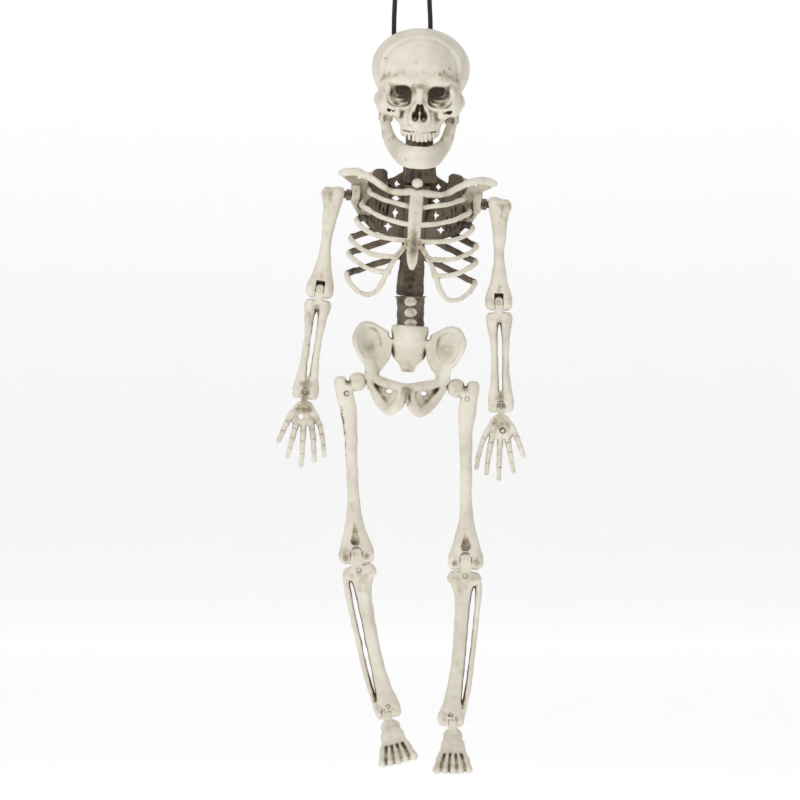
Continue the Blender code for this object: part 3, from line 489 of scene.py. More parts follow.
class Nodes:
    """Short ways to wire a material's nodes."""

    def __init__(self, name):
        self.material = bpy.data.materials.new(name)
        self.material.use_nodes = True
        self.tree = self.material.node_tree
        self.shader = self.tree.nodes["Principled BSDF"]
        self.place = self.tree.nodes.new("ShaderNodeTexCoord").outputs["Object"]

    def link(self, value, socket):
        if isinstance(value, bpy.types.NodeSocket):
            self.tree.links.new(value, socket)
        else:
            socket.default_value = value

    def math(self, operation, a, b=0.0, clamp=False):
        node = self.tree.nodes.new("ShaderNodeMath")
        node.operation, node.use_clamp = operation, clamp
        self.link(a, node.inputs[0])
        self.link(b, node.inputs[1])
        return node.outputs[0]

    def noise(self, size, detail=3.0, roughness=0.55):
        """Noise whose features are about size millimetres across, from 0 to 1."""
        node = self.tree.nodes.new("ShaderNodeTexNoise")
        self.link(self.place, node.inputs["Vector"])
        node.inputs["Scale"].default_value = 1.0 / (size * MM)
        node.inputs["Detail"].default_value = detail
        node.inputs["Roughness"].default_value = roughness
        return node.outputs["Fac"]

    def value(self, name):
        node = self.tree.nodes.new("ShaderNodeAttribute")
        node.attribute_name = name
        return node.outputs["Fac"]

    def fade(self, value, low, high, first=0.0, last=1.0):
        node = self.tree.nodes.new("ShaderNodeMapRange")
        node.interpolation_type = "SMOOTHSTEP"
        self.link(value, node.inputs["Value"])
        for key, number in (("From Min", low), ("From Max", high), ("To Min", first), ("To Max", last)):
            node.inputs[key].default_value = number
        return node.outputs["Result"]

    def mix(self, share, a, b):
        node = self.tree.nodes.new("ShaderNodeMix")
        node.data_type = "RGBA"
        self.link(share, node.inputs["Factor"])
        for value, socket in ((a, node.inputs["A"]), (b, node.inputs["B"])):
            self.link(value if isinstance(value, bpy.types.NodeSocket) else (*value, 1.0), socket)
        return node.outputs["Result"]

    def bump(self, height, depth, strength=1.0):
        """Raises the surface by height, whose range from 0 to 1 stands for depth in millimetres."""
        node = self.tree.nodes.new("ShaderNodeBump")
        node.inputs["Strength"].default_value = strength
        node.inputs["Distance"].default_value = depth * MM
        self.link(height, node.inputs["Height"])
        self.link(node.outputs["Normal"], self.shader.inputs["Normal"])


def washed_plastic(name, light, middle, dark, recess_strength, spread, lift):
    """Matt moulded plastic with a brown wash wiped off its high places, and painted shade in its recesses.

    The recess strength is how dark recesses grow, from the wash they keep and from painted shade,
    spread how patchy the wash lies on open places, and lift how much edges are rubbed clean."""
    n = Nodes(name)
    blotch, speck, grain = n.noise(16.0, 3.0), n.noise(3.2, 4.0), n.noise(0.5, 2.0)
    # Recesses darken, partly with the brown wash kept there and partly with painted shade.
    wash_and_shade = n.math("MULTIPLY", n.value("recess_wash_and_shade"), recess_strength)
    wash_and_shade = n.math("ADD", wash_and_shade, n.value("stain_and_shade"))
    wash_and_shade = n.math("ADD", wash_and_shade, n.fade(blotch, 0.35, 0.75, 0.0, spread))
    wash_and_shade = n.math("ADD", wash_and_shade, n.fade(speck, 0.35, 0.75, -0.14, 0.16))
    wash_and_shade = n.math("SUBTRACT", wash_and_shade, n.math("MULTIPLY", n.value("raised"), lift))
    thin = n.fade(wash_and_shade, 0.04, 0.62)
    thick = n.fade(wash_and_shade, 0.42, 1.05)
    colour = n.mix(n.fade(blotch, 0.3, 0.7, 0.0, 0.35), light, middle)
    colour = n.mix(thin, colour, middle)
    colour = n.mix(thick, colour, dark)
    n.link(colour, n.shader.inputs["Base Color"])
    n.link(n.fade(wash_and_shade, 0.0, 1.0, 0.46, 0.66), n.shader.inputs["Roughness"])
    n.shader.inputs["Specular IOR Level"].default_value = 0.35
    n.bump(n.math("ADD", n.math("MULTIPLY", speck, 0.7), n.math("MULTIPLY", grain, 0.3)), 0.16, 0.55)
    return n.material


def cord_finish():
    n = Nodes("black_braid")
    tone = n.mix(n.noise(1.2, 2.0), (0.006, 0.006, 0.006), (0.022, 0.021, 0.020))
    n.link(tone, n.shader.inputs["Base Color"])
    n.link(n.fade(n.noise(0.6), 0.3, 0.7, 0.6, 0.85), n.shader.inputs["Roughness"])
    n.shader.inputs["Sheen Weight"].default_value = 0.08
    n.bump(n.noise(0.35, 2.0), 0.1, 0.6)
    return n.material


IVORY = washed_plastic(
    "antique_ivory", (0.86, 0.815, 0.70), (0.46, 0.39, 0.28), (0.075, 0.050, 0.034), 1.45, 0.10, 0.08
)
UMBER = washed_plastic(
    "umber_wash", (0.21, 0.165, 0.115), (0.062, 0.046, 0.033), (0.018, 0.013, 0.010), 1.05, 0.62, 0.42
)
MOTTLED = washed_plastic(
    "mottled_ivory", (0.72, 0.67, 0.55), (0.33, 0.27, 0.19), (0.075, 0.052, 0.036), 0.9, 0.42, 0.15
)
PIN = washed_plastic(
    "pin_plastic_worn", (0.62, 0.56, 0.43), (0.36, 0.29, 0.20), (0.09, 0.065, 0.045), 0.8, 0.35, 0.2
)
BLACK = cord_finish()


# ---------------------------------------------------------------- camera, cord and studio

def make_camera():
    """A long lens, level with the middle of the figure."""
    lens = bpy.data.cameras.new("camera")
    lens.lens, lens.sensor_width = LENS, SENSOR
    camera = bpy.data.objects.new("camera", lens)
    bpy.context.collection.objects.link(camera)
    distance = SHOWN_WIDTH * LENS / SENSOR
    camera.location = (LOOK_AT[0] * MM, -distance * MM, LOOK_AT[1] * MM)
    camera.rotation_euler = (math.radians(90.0), 0.0, 0.0)
    bpy.context.scene.camera = camera


def make_cord():
    """The hanging loop: a braided round cord, swept along the CAD route."""
    route = smooth_line(CORD_ROUTE, 180)
    around = 24
    lengths = np.concatenate([[0.0], np.cumsum(np.linalg.norm(np.diff(route, axis=0), axis=1))])
    along = np.gradient(route, axis=0)
    along /= np.linalg.norm(along, axis=1, keepdims=True)
    side = np.array([0.0, 1.0, 0.0])
    rings = []
    for spot, way, run in zip(route, along, lengths):
        side = side - way * (side @ way)
        side /= np.linalg.norm(side)
        up = np.cross(way, side)
        turn = np.arange(around) * math.tau / around
        twist = run * BRAID_TWIST
        braid = np.cos(BRAID_STRANDS * turn + twist) * np.cos(BRAID_STRANDS * turn - twist)
        radius = CORD_RADIUS - BRAID_DEPTH + BRAID_DEPTH * braid
        rings.append(spot + radius[:, None] * (np.cos(turn)[:, None] * side + np.sin(turn)[:, None] * up))
    points = np.vstack([*rings, route[:1], route[-1:]])
    first, last = len(points) - 2, len(points) - 1
    faces = []
    for i in range(len(route) - 1):
        for j in range(around):
            a, b = i * around + j, i * around + (j + 1) % around
            faces.append((a, b, b + around, a + around))
    base = (len(route) - 1) * around
    caps = [(first, (j + 1) % around, j) for j in range(around)]
    caps += [(last, base + j, base + (j + 1) % around) for j in range(around)]
    mesh = bpy.data.meshes.new("loop_cord")
    mesh.from_pydata([tuple(p) for p in points * MM], [], faces + caps)
    mesh.shade_smooth()
    mesh.materials.append(BLACK)
    cord = bpy.data.objects.new("loop_cord", mesh)
    bpy.context.collection.objects.link(cord)
    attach(cord, "head")
    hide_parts("hanging_cord")
    knots = [make_knot(name, end) for name, end in (("right", CORD_ROUTE[0]), ("left", CORD_ROUTE[-1]))]


def make_knot(name, end):
    """An overhand knot inside the skull: three wraps pulled tight."""
    clay = Clay((-3.4, -3.4, -3.4), (3.4, 3.4, 3.4), 0.2)
    turns = np.linspace(0.0, 2 * math.tau, 40)
    reach = 1.25 + 0.45 * np.cos(1.5 * turns)
    loop = np.stack([reach * np.cos(turns), reach * np.sin(turns), 0.95 * np.sin(1.5 * turns)], axis=1)
    clay.add(tube(loop, 0.85)).add(ellipsoid((0, 0, 0), (1.2, 1.2, 1.2)), 0.4)
    centre = (end[0], end[1], end[2] - KNOT_RADIUS - GAP)
    return piece(f"loop_knot_{name}", clay, "head", BLACK, centre, 0.0, [f"cord_knot_{name}"])


def make_studio():
    """A pale floor that curves up into a wall, and big soft lights."""
    bend = FLOOR_HEIGHT + FLOOR_CURVE
    profile = [(-FLOOR_REACH, FLOOR_HEIGHT), (FLOOR_END, FLOOR_HEIGHT)]
    profile += [
        (FLOOR_END + FLOOR_CURVE * math.sin(a), bend - FLOOR_CURVE * math.cos(a))
        for a in np.linspace(0.0, math.pi / 2, 13)[1:]
    ]
    profile += [(FLOOR_END + FLOOR_CURVE, WALL_TOP)]
    points = [(x, y, z) for y, z in profile for x in (-FLOOR_REACH, FLOOR_REACH)]
    faces = [(2 * i, 2 * i + 1, 2 * i + 3, 2 * i + 2) for i in range(len(profile) - 1)]
    mesh = bpy.data.meshes.new("floor")
    mesh.from_pydata(points, [], faces)
    mesh.shade_smooth()
    paper = bpy.data.materials.new("white_paper")
    paper.use_nodes = True
    shader = paper.node_tree.nodes["Principled BSDF"]
    shader.inputs["Base Color"].default_value = PAPER_COLOUR
    shader.inputs["Roughness"].default_value = PAPER_ROUGHNESS
    shader.inputs["Emission Color"].default_value = WHITE
    shader.inputs["Emission Strength"].default_value = PAPER_GLOW
    mesh.materials.append(paper)
    floor = bpy.data.objects.new("floor", mesh)
    bpy.context.collection.objects.link(floor)
    for given in LIGHTS:
        lamp = bpy.data.lights.new(given["name"], "AREA")
        lamp.shape, lamp.size, lamp.energy = "SQUARE", given["size"], given["power"]
        light = bpy.data.objects.new(given["name"], lamp)
        light.location = given["place"]
        aim = Vector(LIGHT_AIM) - Vector(given["place"])
        light.rotation_euler = aim.to_track_quat("-Z", "Y").to_euler()
        bpy.context.collection.objects.link(light)
    world = bpy.data.worlds.new("studio")
    world.use_nodes = True
    world.node_tree.nodes["Background"].inputs["Color"].default_value = WHITE
    world.node_tree.nodes["Background"].inputs["Strength"].default_value = WORLD_GLOW
    bpy.context.scene.world = world
    bpy.context.scene.view_settings.view_transform = "Standard"


# ---------------------------------------------------------------- hinges

def turned(shape, degrees):
    """The shape, leaning in the X-Z plane about the origin."""
    low, high, distance = shape
    c, s = math.cos(math.radians(degrees)), math.sin(math.radians(degrees))
    ends = list(zip(low, high))
    corners = [(c * x + s * z, y, c * z - s * x) for x in ends[0] for y in ends[1] for z in ends[2]]

    def leaning_distance(x, y, z):
        return distance(c * x - s * z, y, s * x + c * z)

    return np.min(corners, axis=0), np.max(corners, axis=0), leaning_distance


def round_top(half, height):
    """Everything below an arch of a tongue's width, seen from the front."""

    def distance(x, y, z):
        over = np.maximum(z - (height - half), 0.0)
        return np.sqrt(x * x + over * over) - half + 0.0 * y

    return distance


def add_tongue(clay, hinge, reach, lean):
    """A round-ended tongue about the origin, in line with the bone above it."""
    half, radius = hinge["half"], hinge["disc"]
    neck = 0.82 * radius
    plate = disc((0, 0, 0), (1, 0, 0), radius, half, 0.3)
    stem = slab((-half, -neck, -reach - 1.5), (half, neck, 0.0), 0.4)
    arch = round_top(half, radius)
    box = ([-half, -radius, -reach - 1.5], [half, radius, radius])

    def whole(x, y, z):
        return np.maximum(np.minimum(plate[2](x, y, z), stem[2](x, y, z)), arch(x, y, z))

    clay.add(turned((*box, whole), lean), 0.4)
    clay.score(turned(disc((0.0, -radius, 0.0), (0, 1, 0), 1.35, 1.6, 0.0), lean), 0.35)
    clay.add(turned(disc((0.0, -radius + 0.75, 0.0), (0, 1, 0), 0.85, 0.7, 0.15), lean))
    clay.cut(turned(disc((0, 0, 0), (1, 0, 0), hinge["pin"] + GAP, half + 2.0, 0.0), lean))


def cut_fork(clay, hinge, length, swing, across=0.0):
    """The room for a tongue in a bone's lower end, and the bore for its pin.

    swing is how high the tongue's stem comes in front and behind, about the pin."""
    half, radius = hinge["half"] + GAP, hinge["disc"] + GAP
    neck = 0.82 * hinge["disc"] + GAP
    clay.cut(disc((across, 0.0, -length), (1, 0, 0), radius, half, 0.1))
    for front, height in zip((-1, 1), swing):
        near, far = sorted((-front * neck, front * 20.0))
        clay.cut(slab(
            (across - half, near, -length - 14.0), (across + half, far, -length + min(height, 0.0)), 0.2
        ))
        near, far = sorted((0.0, front * 20.0))
        low, high = (across - half, near, -length - 1.0), (across + half, far, -length + height)
        if height > radius + 0.2:
            clay.cut(slab(low, high, 0.2))
        elif height > 0.0:
            arch = round_top(half, height)
            clay.cut((low, high, lambda x, y, z, a=arch, n=near, f=far: np.maximum(
                a(x - across, y, z + length), np.maximum(np.maximum(n - y, y - f), -length - 1.0 - z)
            )), 0.1)
    clay.cut(disc((across, 0.0, -length), (1, 0, 0), hinge["pin"] + GAP, 14.0, 0.0))


def cut_mark(clay, x, z, radius=1.4):
    """A round moulding mark on the front: a ring groove round a low stud."""
    y = clay.front(x, z)
    clay.score(disc((x, y, z), (0, 1, 0), radius, 1.6, 0.0), 0.55)
    clay.add(disc((x, y + 0.75, z), (0, 1, 0), radius - 0.55, 0.8, 0.15))


# ---------------------------------------------------------------- arms

def build_humerus(name, side):
    shoulder = leaning((side * SHOULDER[0], *SHOULDER[1:]), TORSO_TOP, TORSO_TILT)
    tilt = HUMERUS_TILT[name]
    clay = Clay((-8.5, -6.5, -58.5), (8.5, 6.5, 6.0), 0.42)
    clay.add(stack([
        (-56.6, 0, 0, 5.2, 2.4), (-55.2, 0, 0, 6.5, 3.5), (-52.5, 0, 0, 7.3, 4.0), (-48.5, 0, 0, 6.6, 3.6),
        (-44.0, 0, 0, 4.8, 3.0), (-37.0, 0, 0, 3.5, 2.7), (-30.0, 0, 0, 2.9, 2.6), (-22.0, 0, 0, 2.9, 2.7),
        (-14.0, 0, 0, 3.7, 3.1), (-8.0, 0, 0, 4.6, 3.7), (-3.0, 0, 0, 5.6, 4.4), (0.5, 0, 0, 5.6, 4.4),
        (3.2, 0, 0, 4.0, 3.2),
    ], 2.1, 1.2))
    clay.add(ellipsoid((-side * 2.5, -0.2, 0.8), (4.1, 4.7, 3.7)), 0.7)
    clay.add(ellipsoid((side * 3.9, -0.4, -0.4), (2.7, 4.2, 3.6)), 0.7)
    clay.cut(tube(
        [(side * 1.9, -6.0, 5.0), (side * 1.7, -5.1, 1.0), (side * 1.2, -4.0, -6.0)], [1.5, 0.8, 0.4]
    ), 0.7)
    clay.add(tube(
        [(side * 2.4, -2.4, -9.0), (side * 2.2, -1.8, -16.0), (side * 1.5, -1.4, -24.0)], [1.3, 1.6, 1.0]
    ), 1.6)
    for edge in (-1, 1):
        clay.add(tube([
            (edge * 5.6, 0.0, -50.0), (edge * 3.2, 0.0, -40.0), (edge * 2.0, 0.0, -32.0)
        ], [1.5, 1.1, 0.8]), 1.2)
        clay.add(ellipsoid((edge * 4.9, -0.4, -52.6), (2.5, 4.1, 3.7)), 0.8)
    clay.wobble(9.0, 0.14, 11 + side).remember()
    clay.cut(tube([(0.3, -4.4, -48.0), (0.2, -3.7, -45.0), (0.0, -3.2, -42.0)], [1.25, 1.1, 0.5]), 0.3)
    lean = TORSO_TILT - tilt
    inner = leaning((-side * 12.0, 0, 0), (0, 0, 0), lean)
    outer = leaning((side * 1.6, 0, 0), (0, 0, 0), lean)
    clay.cut(tube([inner, outer], PEG_RADIUS + GAP))
    cut_fork(clay, ELBOW, HUMERUS_LENGTH, (5.0, -0.5))
    stains_and_shade = [((side * 3.0, -4.0, 0.0), 3.0, 0.22), ((0.0, -3.5, -45.0), 2.4, 0.2)]
    piece(
        f"bone_humerus_{name}", clay, f"upper_arm_{name}", IVORY, shoulder, tilt,
        stains_and_shade=stains_and_shade,
    )
    return below(shoulder, HUMERUS_LENGTH, tilt)


def build_forearm(name, side, elbow):
    tilt = FOREARM_TILT[name]
    clay = Clay((-8.5, -5.5, -61.0), (8.5, 5.5, 5.0), 0.42)
    for edge, shift in ((-1, 0.0), (1, 0.2)):
        clay.add(stack([
            (-59.0, edge * 3.2, 0, 2.6, 2.2), (-57.6, edge * 3.5, 0, 3.4, 3.1),
            (-55.0, edge * 3.6, 0, 3.7, 3.5),
            (-51.0, edge * 3.5, 0, 3.3, 3.2), (-45.0, edge * 3.3, 0, 2.5, 2.7),
            (-36.0, edge * 3.0, 0, 1.95, 2.3),
            (-24.0, edge * (3.0 + shift), 0, 1.9, 2.3), (-16.0, edge * 3.5, 0, 2.5, 2.8),
            (-11.0, edge * 3.5, 0, 3.4, 3.4), (-7.8, edge * 3.7, 0, 3.5, 3.3),
            (-5.2, edge * 3.5, 0, 2.6, 2.4),
        ], 2.1, 1.0), 0.5)
    clay.add(slab((-3.0, -2.2, -10.8), (3.0, 2.2, -5.6), 0.9), 0.7)
    clay.add(slab((-3.2, -2.2, -58.2), (3.2, 2.2, -47.6), 0.9), 0.7)
    for front in (-1, 1):
        clay.cut(tube([(0.0, front * 3.4, -8.0), (0.0, front * 2.6, -14.0)], [0.5, 1.3]), 0.5)
        clay.cut(tube([(0.0, front * 2.6, -46.0), (0.2, front * 3.3, -53.0)], [1.5, 0.7]), 0.5)
    clay.add(tube([(side * 4.4, -2.0, -14.0), (side * 4.0, -1.7, -30.0)], [1.1, 0.7]), 1.0)
    clay.wobble(8.0, 0.13, 21 + side).remember()
    clay.cut(ellipsoid((-side * 0.4, -4.0, -51.0), (2.2, 1.9, 2.8)), 0.6)
    add_tongue(clay, ELBOW, 6.4, HUMERUS_TILT[name] - tilt)
    cut_fork(clay, WRIST, FOREARM_LENGTH, (1.6, 1.6))
    stains_and_shade = [((0.0, -3.0, -51.0), 2.6, 0.5), ((0.0, -3.0, -11.0), 2.2, 0.3)]
    piece(f"bone_forearm_{name}", clay, f"forearm_{name}", IVORY, elbow, tilt, stains_and_shade=stains_and_shade)
    return below(elbow, FOREARM_LENGTH, tilt)


def knuckled(run, count, radii, bones):
    """A row of small bones along a line: thick at the joints, slim between them."""
    line = smooth_line(run, count)
    share = np.linspace(0.0, 1.0, count)
    radius = np.interp(share, (0.0, 1.0), radii) * (
        0.88 + 0.16 * np.abs(np.cos(math.pi * bones * share)) ** 1.5
    )
    return line, radius


def build_hand(name, side, wrist):
    """A palm with its small bones, and five jointed fingers; thumb first, all towards side."""
    tilt = HAND_TILT[name]
    clay = Clay((-16.5, -3.6, -42.0), (16.5, 3.6, 4.0), 0.32)
    clay.add(stack([
        (-18.0, 0, 0, 5.2, 1.2), (-15.0, 0, 0, 7.0, 1.6), (-12.0, 0, 0, 7.2, 1.9), (-9.0, 0, 0, 5.4, 2.0),
        (-6.0, 0, 0, 4.2, 2.0), (-4.9, 0, 0, 3.2, 1.6),
    ], 2.2, 0.8))
    fingers = [
        ([(3.6, -8.6), (7.2, -13.2), (9.9, -19.6), (12.6, -26.8)], (2.0, 1.35), 4),
        ([(2.4, -8.8), (3.8, -17.6), (5.6, -26.6), (7.3, -35.2)], (1.9, 1.3), 5),
        ([(0.2, -8.8), (-0.2, -18.4), (-0.4, -28.4), (-0.4, -39.2)], (1.9, 1.3), 5),
        ([(-2.2, -8.8), (-4.6, -17.8), (-6.2, -26.8), (-7.2, -36.4)], (1.9, 1.3), 5),
        ([(-4.0, -9.0), (-8.2, -15.6), (-10.9, -23.6), (-12.6, -33.4)], (1.8, 1.2), 5),
    ]
    for run, radii, bones in fingers:
        line, radius = knuckled([(side * x, -0.2, z) for x, z in run], 33, radii, bones)
        clay.add(tube(line, radius, (1.0, 0.95, 1.0)), 0.35)
        for k in range(2, bones):
            spot = line[round(32 * k / bones)]
            way = line[round(32 * k / bones) - 2] - line[min(round(32 * k / bones) + 2, 32)]
            clay.score(disc(spot, way, 2.6, 0.24, 0.0), 0.32)
    for x, z in (
        (-3.4, -8.2), (-1.0, -7.4), (1.4, -7.6), (3.6, -9.0), (-2.4, -11.0), (0.3, -10.6), (2.6, -11.6)
    ):
        clay.add(ellipsoid((side * x, -1.5, z), (1.25, 0.9, 1.3)), 0.3)
    for x in (-5.2, -2.2, 1.4, 4.4):
        clay.cut(tube([(side * x * 0.9, -2.7, -13.5), (side * x * 1.15, -2.3, -18.4)], [0.5, 0.8]), 0.4)
    clay.cut(tube([(-4.4, -2.7, -9.4), (-1.0, -2.9, -8.6), (4.4, -2.7, -9.8)], 0.7), 0.6)
    clay.wobble(5.0, 0.08, 31 + side)
    add_tongue(clay, WRIST, 6.0, FOREARM_TILT[name] - tilt)
    if name == "right":
        clay.cut(disc((side * 1.6, 0, -13.2), (0, 1, 0), 1.5, 8.0, 0.0), 0.3)
    else:
        cut_mark(clay, side * 1.2, -13.2, 1.7)
    stains_and_shade = [((x, -2.0, -9.4), 1.1, 0.2) for x in (-3.6, -1.8, 0.0, 1.8, 3.6)]
    piece(f"bone_hand_{name}", clay, f"hand_{name}", IVORY, wrist, tilt, stains_and_shade=stains_and_shade)


# ---------------------------------------------------------------- legs

def build_femur(name, side):
    hip = leaning((side * HIP[0], *HIP[1:]), PELVIS_TOP, PELVIS_TILT)
    tilt = FEMUR_TILT[name]
    low, high = sorted((side * -6.5, side * 16.5))
    clay = Clay((low, -6.6, -100.0), (high, 6.6, 6.5), 0.48)
    levels = [
        (-97.8, 5.0, 6.8, 2.3), (-95.8, 5.1, 8.9, 4.0), (-92.7, 5.2, 9.7, 4.8), (-88.5, 5.2, 8.7, 4.5),
        (-83.0, 5.3, 6.6, 4.0), (-77.0, 5.5, 5.0, 3.6), (-70.0, 5.4, 4.0, 3.4), (-60.0, 5.3, 3.3, 3.3),
        (-45.0, 5.3, 3.2, 3.3), (-32.0, 5.1, 3.5, 3.4), (-20.0, 5.2, 4.1, 3.6), (-10.0, 6.2, 4.7, 3.9),
        (-3.0, 8.0, 4.5, 4.1), (1.0, 8.9, 3.6, 3.7), (3.6, 9.2, 2.2, 2.4),
    ]
    clay.add(stack([(z, side * x, 0, hx, hy) for z, x, hx, hy in levels], 2.1, 1.2))
    clay.add(ellipsoid((0, 0, 0), (4.9, 5.0, 5.2)), 0.3)
    clay.add(tube([(side * 1.5, 0, -1.0), (side * 8.0, 0, -4.0)], [3.1, 3.9]), 0.6)
    clay.cut(tube(
        [(side * 4.9, -7.0, 5.0), (side * 5.2, -5.6, -1.4), (side * 4.2, -4.6, -6.0)], [1.2, 0.9, 0.4]
    ), 0.5)
    clay.cut(tube([(side * 5.0, -9.0, 4.4), (side * 5.0, 9.0, 4.4)], 1.1), 0.5)
    clay.cut(tube([(side * 5.1, -9.0, 1.6), (side * 5.1, 9.0, 1.6)], 0.75), 0.5)
    clay.add(tube(
        [(side * 9.4, -1.4, 0.0), (side * 8.9, -1.6, -10.0), (side * 7.6, -0.6, -22.0)], [2.6, 2.1, 0.8]
    ), 1.4)
    clay.add(tube([(side * 5.0, 2.6, -14.0), (side * 5.3, 2.7, -62.0)], [1.0, 0.8]), 1.2)
    for edge in (-1, 1):
        x = side * KNEE_OFFSET + edge * 6.0
        clay.add(ellipsoid((x, -0.4, -92.6), (3.6, 4.9, 4.9)), 0.9)
        clay.add(tube([(x, -1.0, -88.0), (side * 5.4 + edge * 3.0, -0.6, -74.0)], [2.0, 1.0]), 1.4)
    for x, z in ((-1.6, 1.2), (1.3, -1.8), (-0.4, -3.2)):
        clay.cut(ellipsoid((x, -5.0, z), (0.7, 0.9, 0.5)), 0.2)
    clay.wobble(10.0, 0.17, 41 + side).remember()
    spike = [(side * 5.4, -3.4, -73.0), (side * 5.3, -3.7, -79.0), (side * 5.2, -4.3, -85.0)]
    for front in (1, -1):
        clay.cut(tube([(x, front * y, z) for x, y, z in spike], [0.35, 1.1, 2.9], (1.0, 0.45, 1.0)), 0.25)
    for edge in (-1, 1):
        spot = (side * KNEE_OFFSET + edge * 5.4, -4.9, -94.6)
        clay.cut(ellipsoid(spot, (2.1, 1.5, 2.2)), 0.3)
    cut_mark(clay, side * 6.0, -6.0, 1.5)
    lean = PELVIS_TILT - tilt
    inner = leaning((-side * 12.0, 0, 0), (0, 0, 0), lean)
    outer = leaning((side * 2.6, 0, 0), (0, 0, 0), lean)
    clay.cut(tube([inner, outer], HIP_PEG_RADIUS + 0.4))
    cut_fork(clay, KNEE, FEMUR_LENGTH, (4.6, 5.0), side * KNEE_OFFSET)
    stains_and_shade = [((side * 5.0, -3.0, 0.0), 2.0, 0.5)]
    if side < 0:
        stains_and_shade += [
            ((side * (8.9 + 0.3 * math.sin(z)), -2.0, z), 0.9, 0.9) for z in np.arange(-44.0, -12.0, 1.7)
        ]
    piece(f"bone_femur_{name}", clay, f"thigh_{name}", IVORY, hip, tilt, stains_and_shade=stains_and_shade)
    return below(hip, FEMUR_LENGTH, tilt, side * KNEE_OFFSET)


def build_shin(name, side, knee):
    tilt = SHIN_TILT[name]
    low, high = sorted((side * -10.5, side * 12.0))
    clay = Clay((low, -6.4, -92.5), (high, 6.4, 6.2), 0.46)
    levels = [
        (-89.8, -1.0, 5.2, 2.6), (-88.4, -1.0, 6.4, 3.8), (-85.5, -1.0, 6.8, 4.3), (-80.0, -0.9, 6.0, 3.8),
        (-74.0, -0.8, 4.7, 3.2), (-60.0, 0.2, 3.7, 3.0), (-43.0, 0.5, 3.8, 3.1), (-26.0, 0.3, 4.1, 3.3),
        (-18.0, -0.2, 5.0, 3.7), (-12.6, -0.4, 7.0, 4.4), (-8.7, 0.0, 8.7, 4.7), (-6.0, 0.0, 7.2, 3.4),
    ]
    clay.add(stack([(z, side * x, 0, hx, hy) for z, x, hx, hy in levels], 2.1, 1.2))
    clay.add(tube([
        (side * -1.0, -2.6, -16.0), (side * -0.6, -2.2, -40.0), (side * -1.4, -1.8, -72.0)
    ], [1.4, 1.0, 0.8]), 1.3)
    splint = smooth_line(mirrored([
        (6.4, 0.2, -10.0), (8.1, 0.4, -14.5), (8.3, 0.6, -28.0), (7.6, 0.6, -48.0),
        (7.0, 0.4, -66.0), (5.4, 0.2, -78.0), (4.2, 0.0, -86.0),
    ], side), 25)
    clay.add(tube(
        splint, np.interp(np.linspace(0, 1, 25), (0, 0.1, 0.3, 0.8, 1), (2.4, 2.3, 1.65, 1.6, 2.2))
    ), 0.4)
    clay.cut(tube([(side * 4.6, -5.4, -14.0), (side * 4.6, -3.6, -24.0)], [0.9, 0.7]), 0.6)
    for edge in (-1, 1):
        clay.add(ellipsoid((edge * 5.4, -0.6, -10.2), (3.8, 4.4, 3.2)), 0.9)
        clay.add(ellipsoid((edge * 4.8 - side * 1.0, -0.4, -85.6), (2.4, 4.3, 3.9)), 0.8)
    clay.add(ellipsoid((side * -0.6, -3.2, -16.0), (2.0, 1.5, 3.4)), 1.4)
    clay.wobble(10.0, 0.16, 51 + side)
    cut_mark(clay, side * 0.2, -8.4, 1.5)
    cut_mark(clay, side * -1.4, -83.4, 1.2)
    clay.remember()
    clay.cut(tube([(side * 5.6, -4.4, -13.0), (side * 5.7, -3.6, -20.0)], [0.8, 0.8]), 0.4)
    for edge in (-1, 1):
        clay.cut(ellipsoid((edge * 6.0, -4.6, -6.6), (2.2, 1.6, 1.6)), 0.4)
    add_tongue(clay, KNEE, 8.0, FEMUR_TILT[name] - tilt)
    cut_fork(clay, ANKLE, SHIN_LENGTH, (-0.4, -1.4))
    stains_and_shade = [((side * 4.7, -1.0, z), 1.3, 0.75) for z in np.arange(-79.0, -14.0, 1.8)]
    piece(f"bone_shin_{name}", clay, f"shin_{name}", IVORY, knee, tilt, stains_and_shade=stains_and_shade)
    return below(knee, SHIN_LENGTH, tilt)


def build_foot(name, side, ankle):
    """A drooping foot: ankle and heel bones, and five rays that fan out to the toes."""
    tilt = FOOT_TILT[name]
    clay = Clay((-12.0, -24.5, -31.0), (12.0, 11.0, 5.0), 0.42)
    clay.add(ellipsoid((0.0, 0.0, -9.4), (5.3, 4.4, 4.4)))
    clay.add(ellipsoid((0.0, 5.0, -11.2), (4.6, 4.4, 4.6)), 1.6)
    clay.add(ellipsoid((0.0, -3.6, -13.4), (6.2, 4.4, 4.8)), 1.6)
    lines = []
    for ray in range(5):
        share = side * (ray - 2.0) / 2.0
        run = [
            (3.6 * share, -4.6, -14.0), (5.4 * share, -9.6, -18.4),
            (7.3 * share, -14.6, -22.6), (8.5 * share, -19.4, -26.6 + 0.8 * abs(share)),
        ]
        line, radius = knuckled(run, 25, (2.5, 2.0 if ray else 2.3), 2)
        clay.add(tube(line, radius), 1.1)
        lines.append(line)
    for near, far in zip(lines, lines[1:]):
        middle = (near + far)[9:25] / 2 + np.array([0.0, -1.9, 1.5])
        clay.cut(tube(middle[::3], 0.62), 0.35)
    clay.wobble(6.0, 0.1, 61 + side)
    add_tongue(clay, ANKLE, 6.6, SHIN_TILT[name] - tilt)
    stains_and_shade = [(tuple((a[k] + b[k]) / 2 + np.array([0, -1.9, 1.5])), 0.9, 0.7)
              for a, b in zip(lines, lines[1:]) for k in range(10, 24)]
    piece(f"bone_foot_{name}", clay, f"foot_{name}", IVORY, ankle, tilt, stains_and_shade=stains_and_shade)



# ---------------------------------------------------------------- shapes for the head and trunk

def unleaned(spot, origin, tilt):
    turn = Matrix.Rotation(math.radians(-tilt), 3, "Y")
    return tuple(turn @ (Vector(spot) - Vector(origin)))


def in_head(spot):
    return unleaned(spot, HEAD_CENTRE, HEAD_TILT)


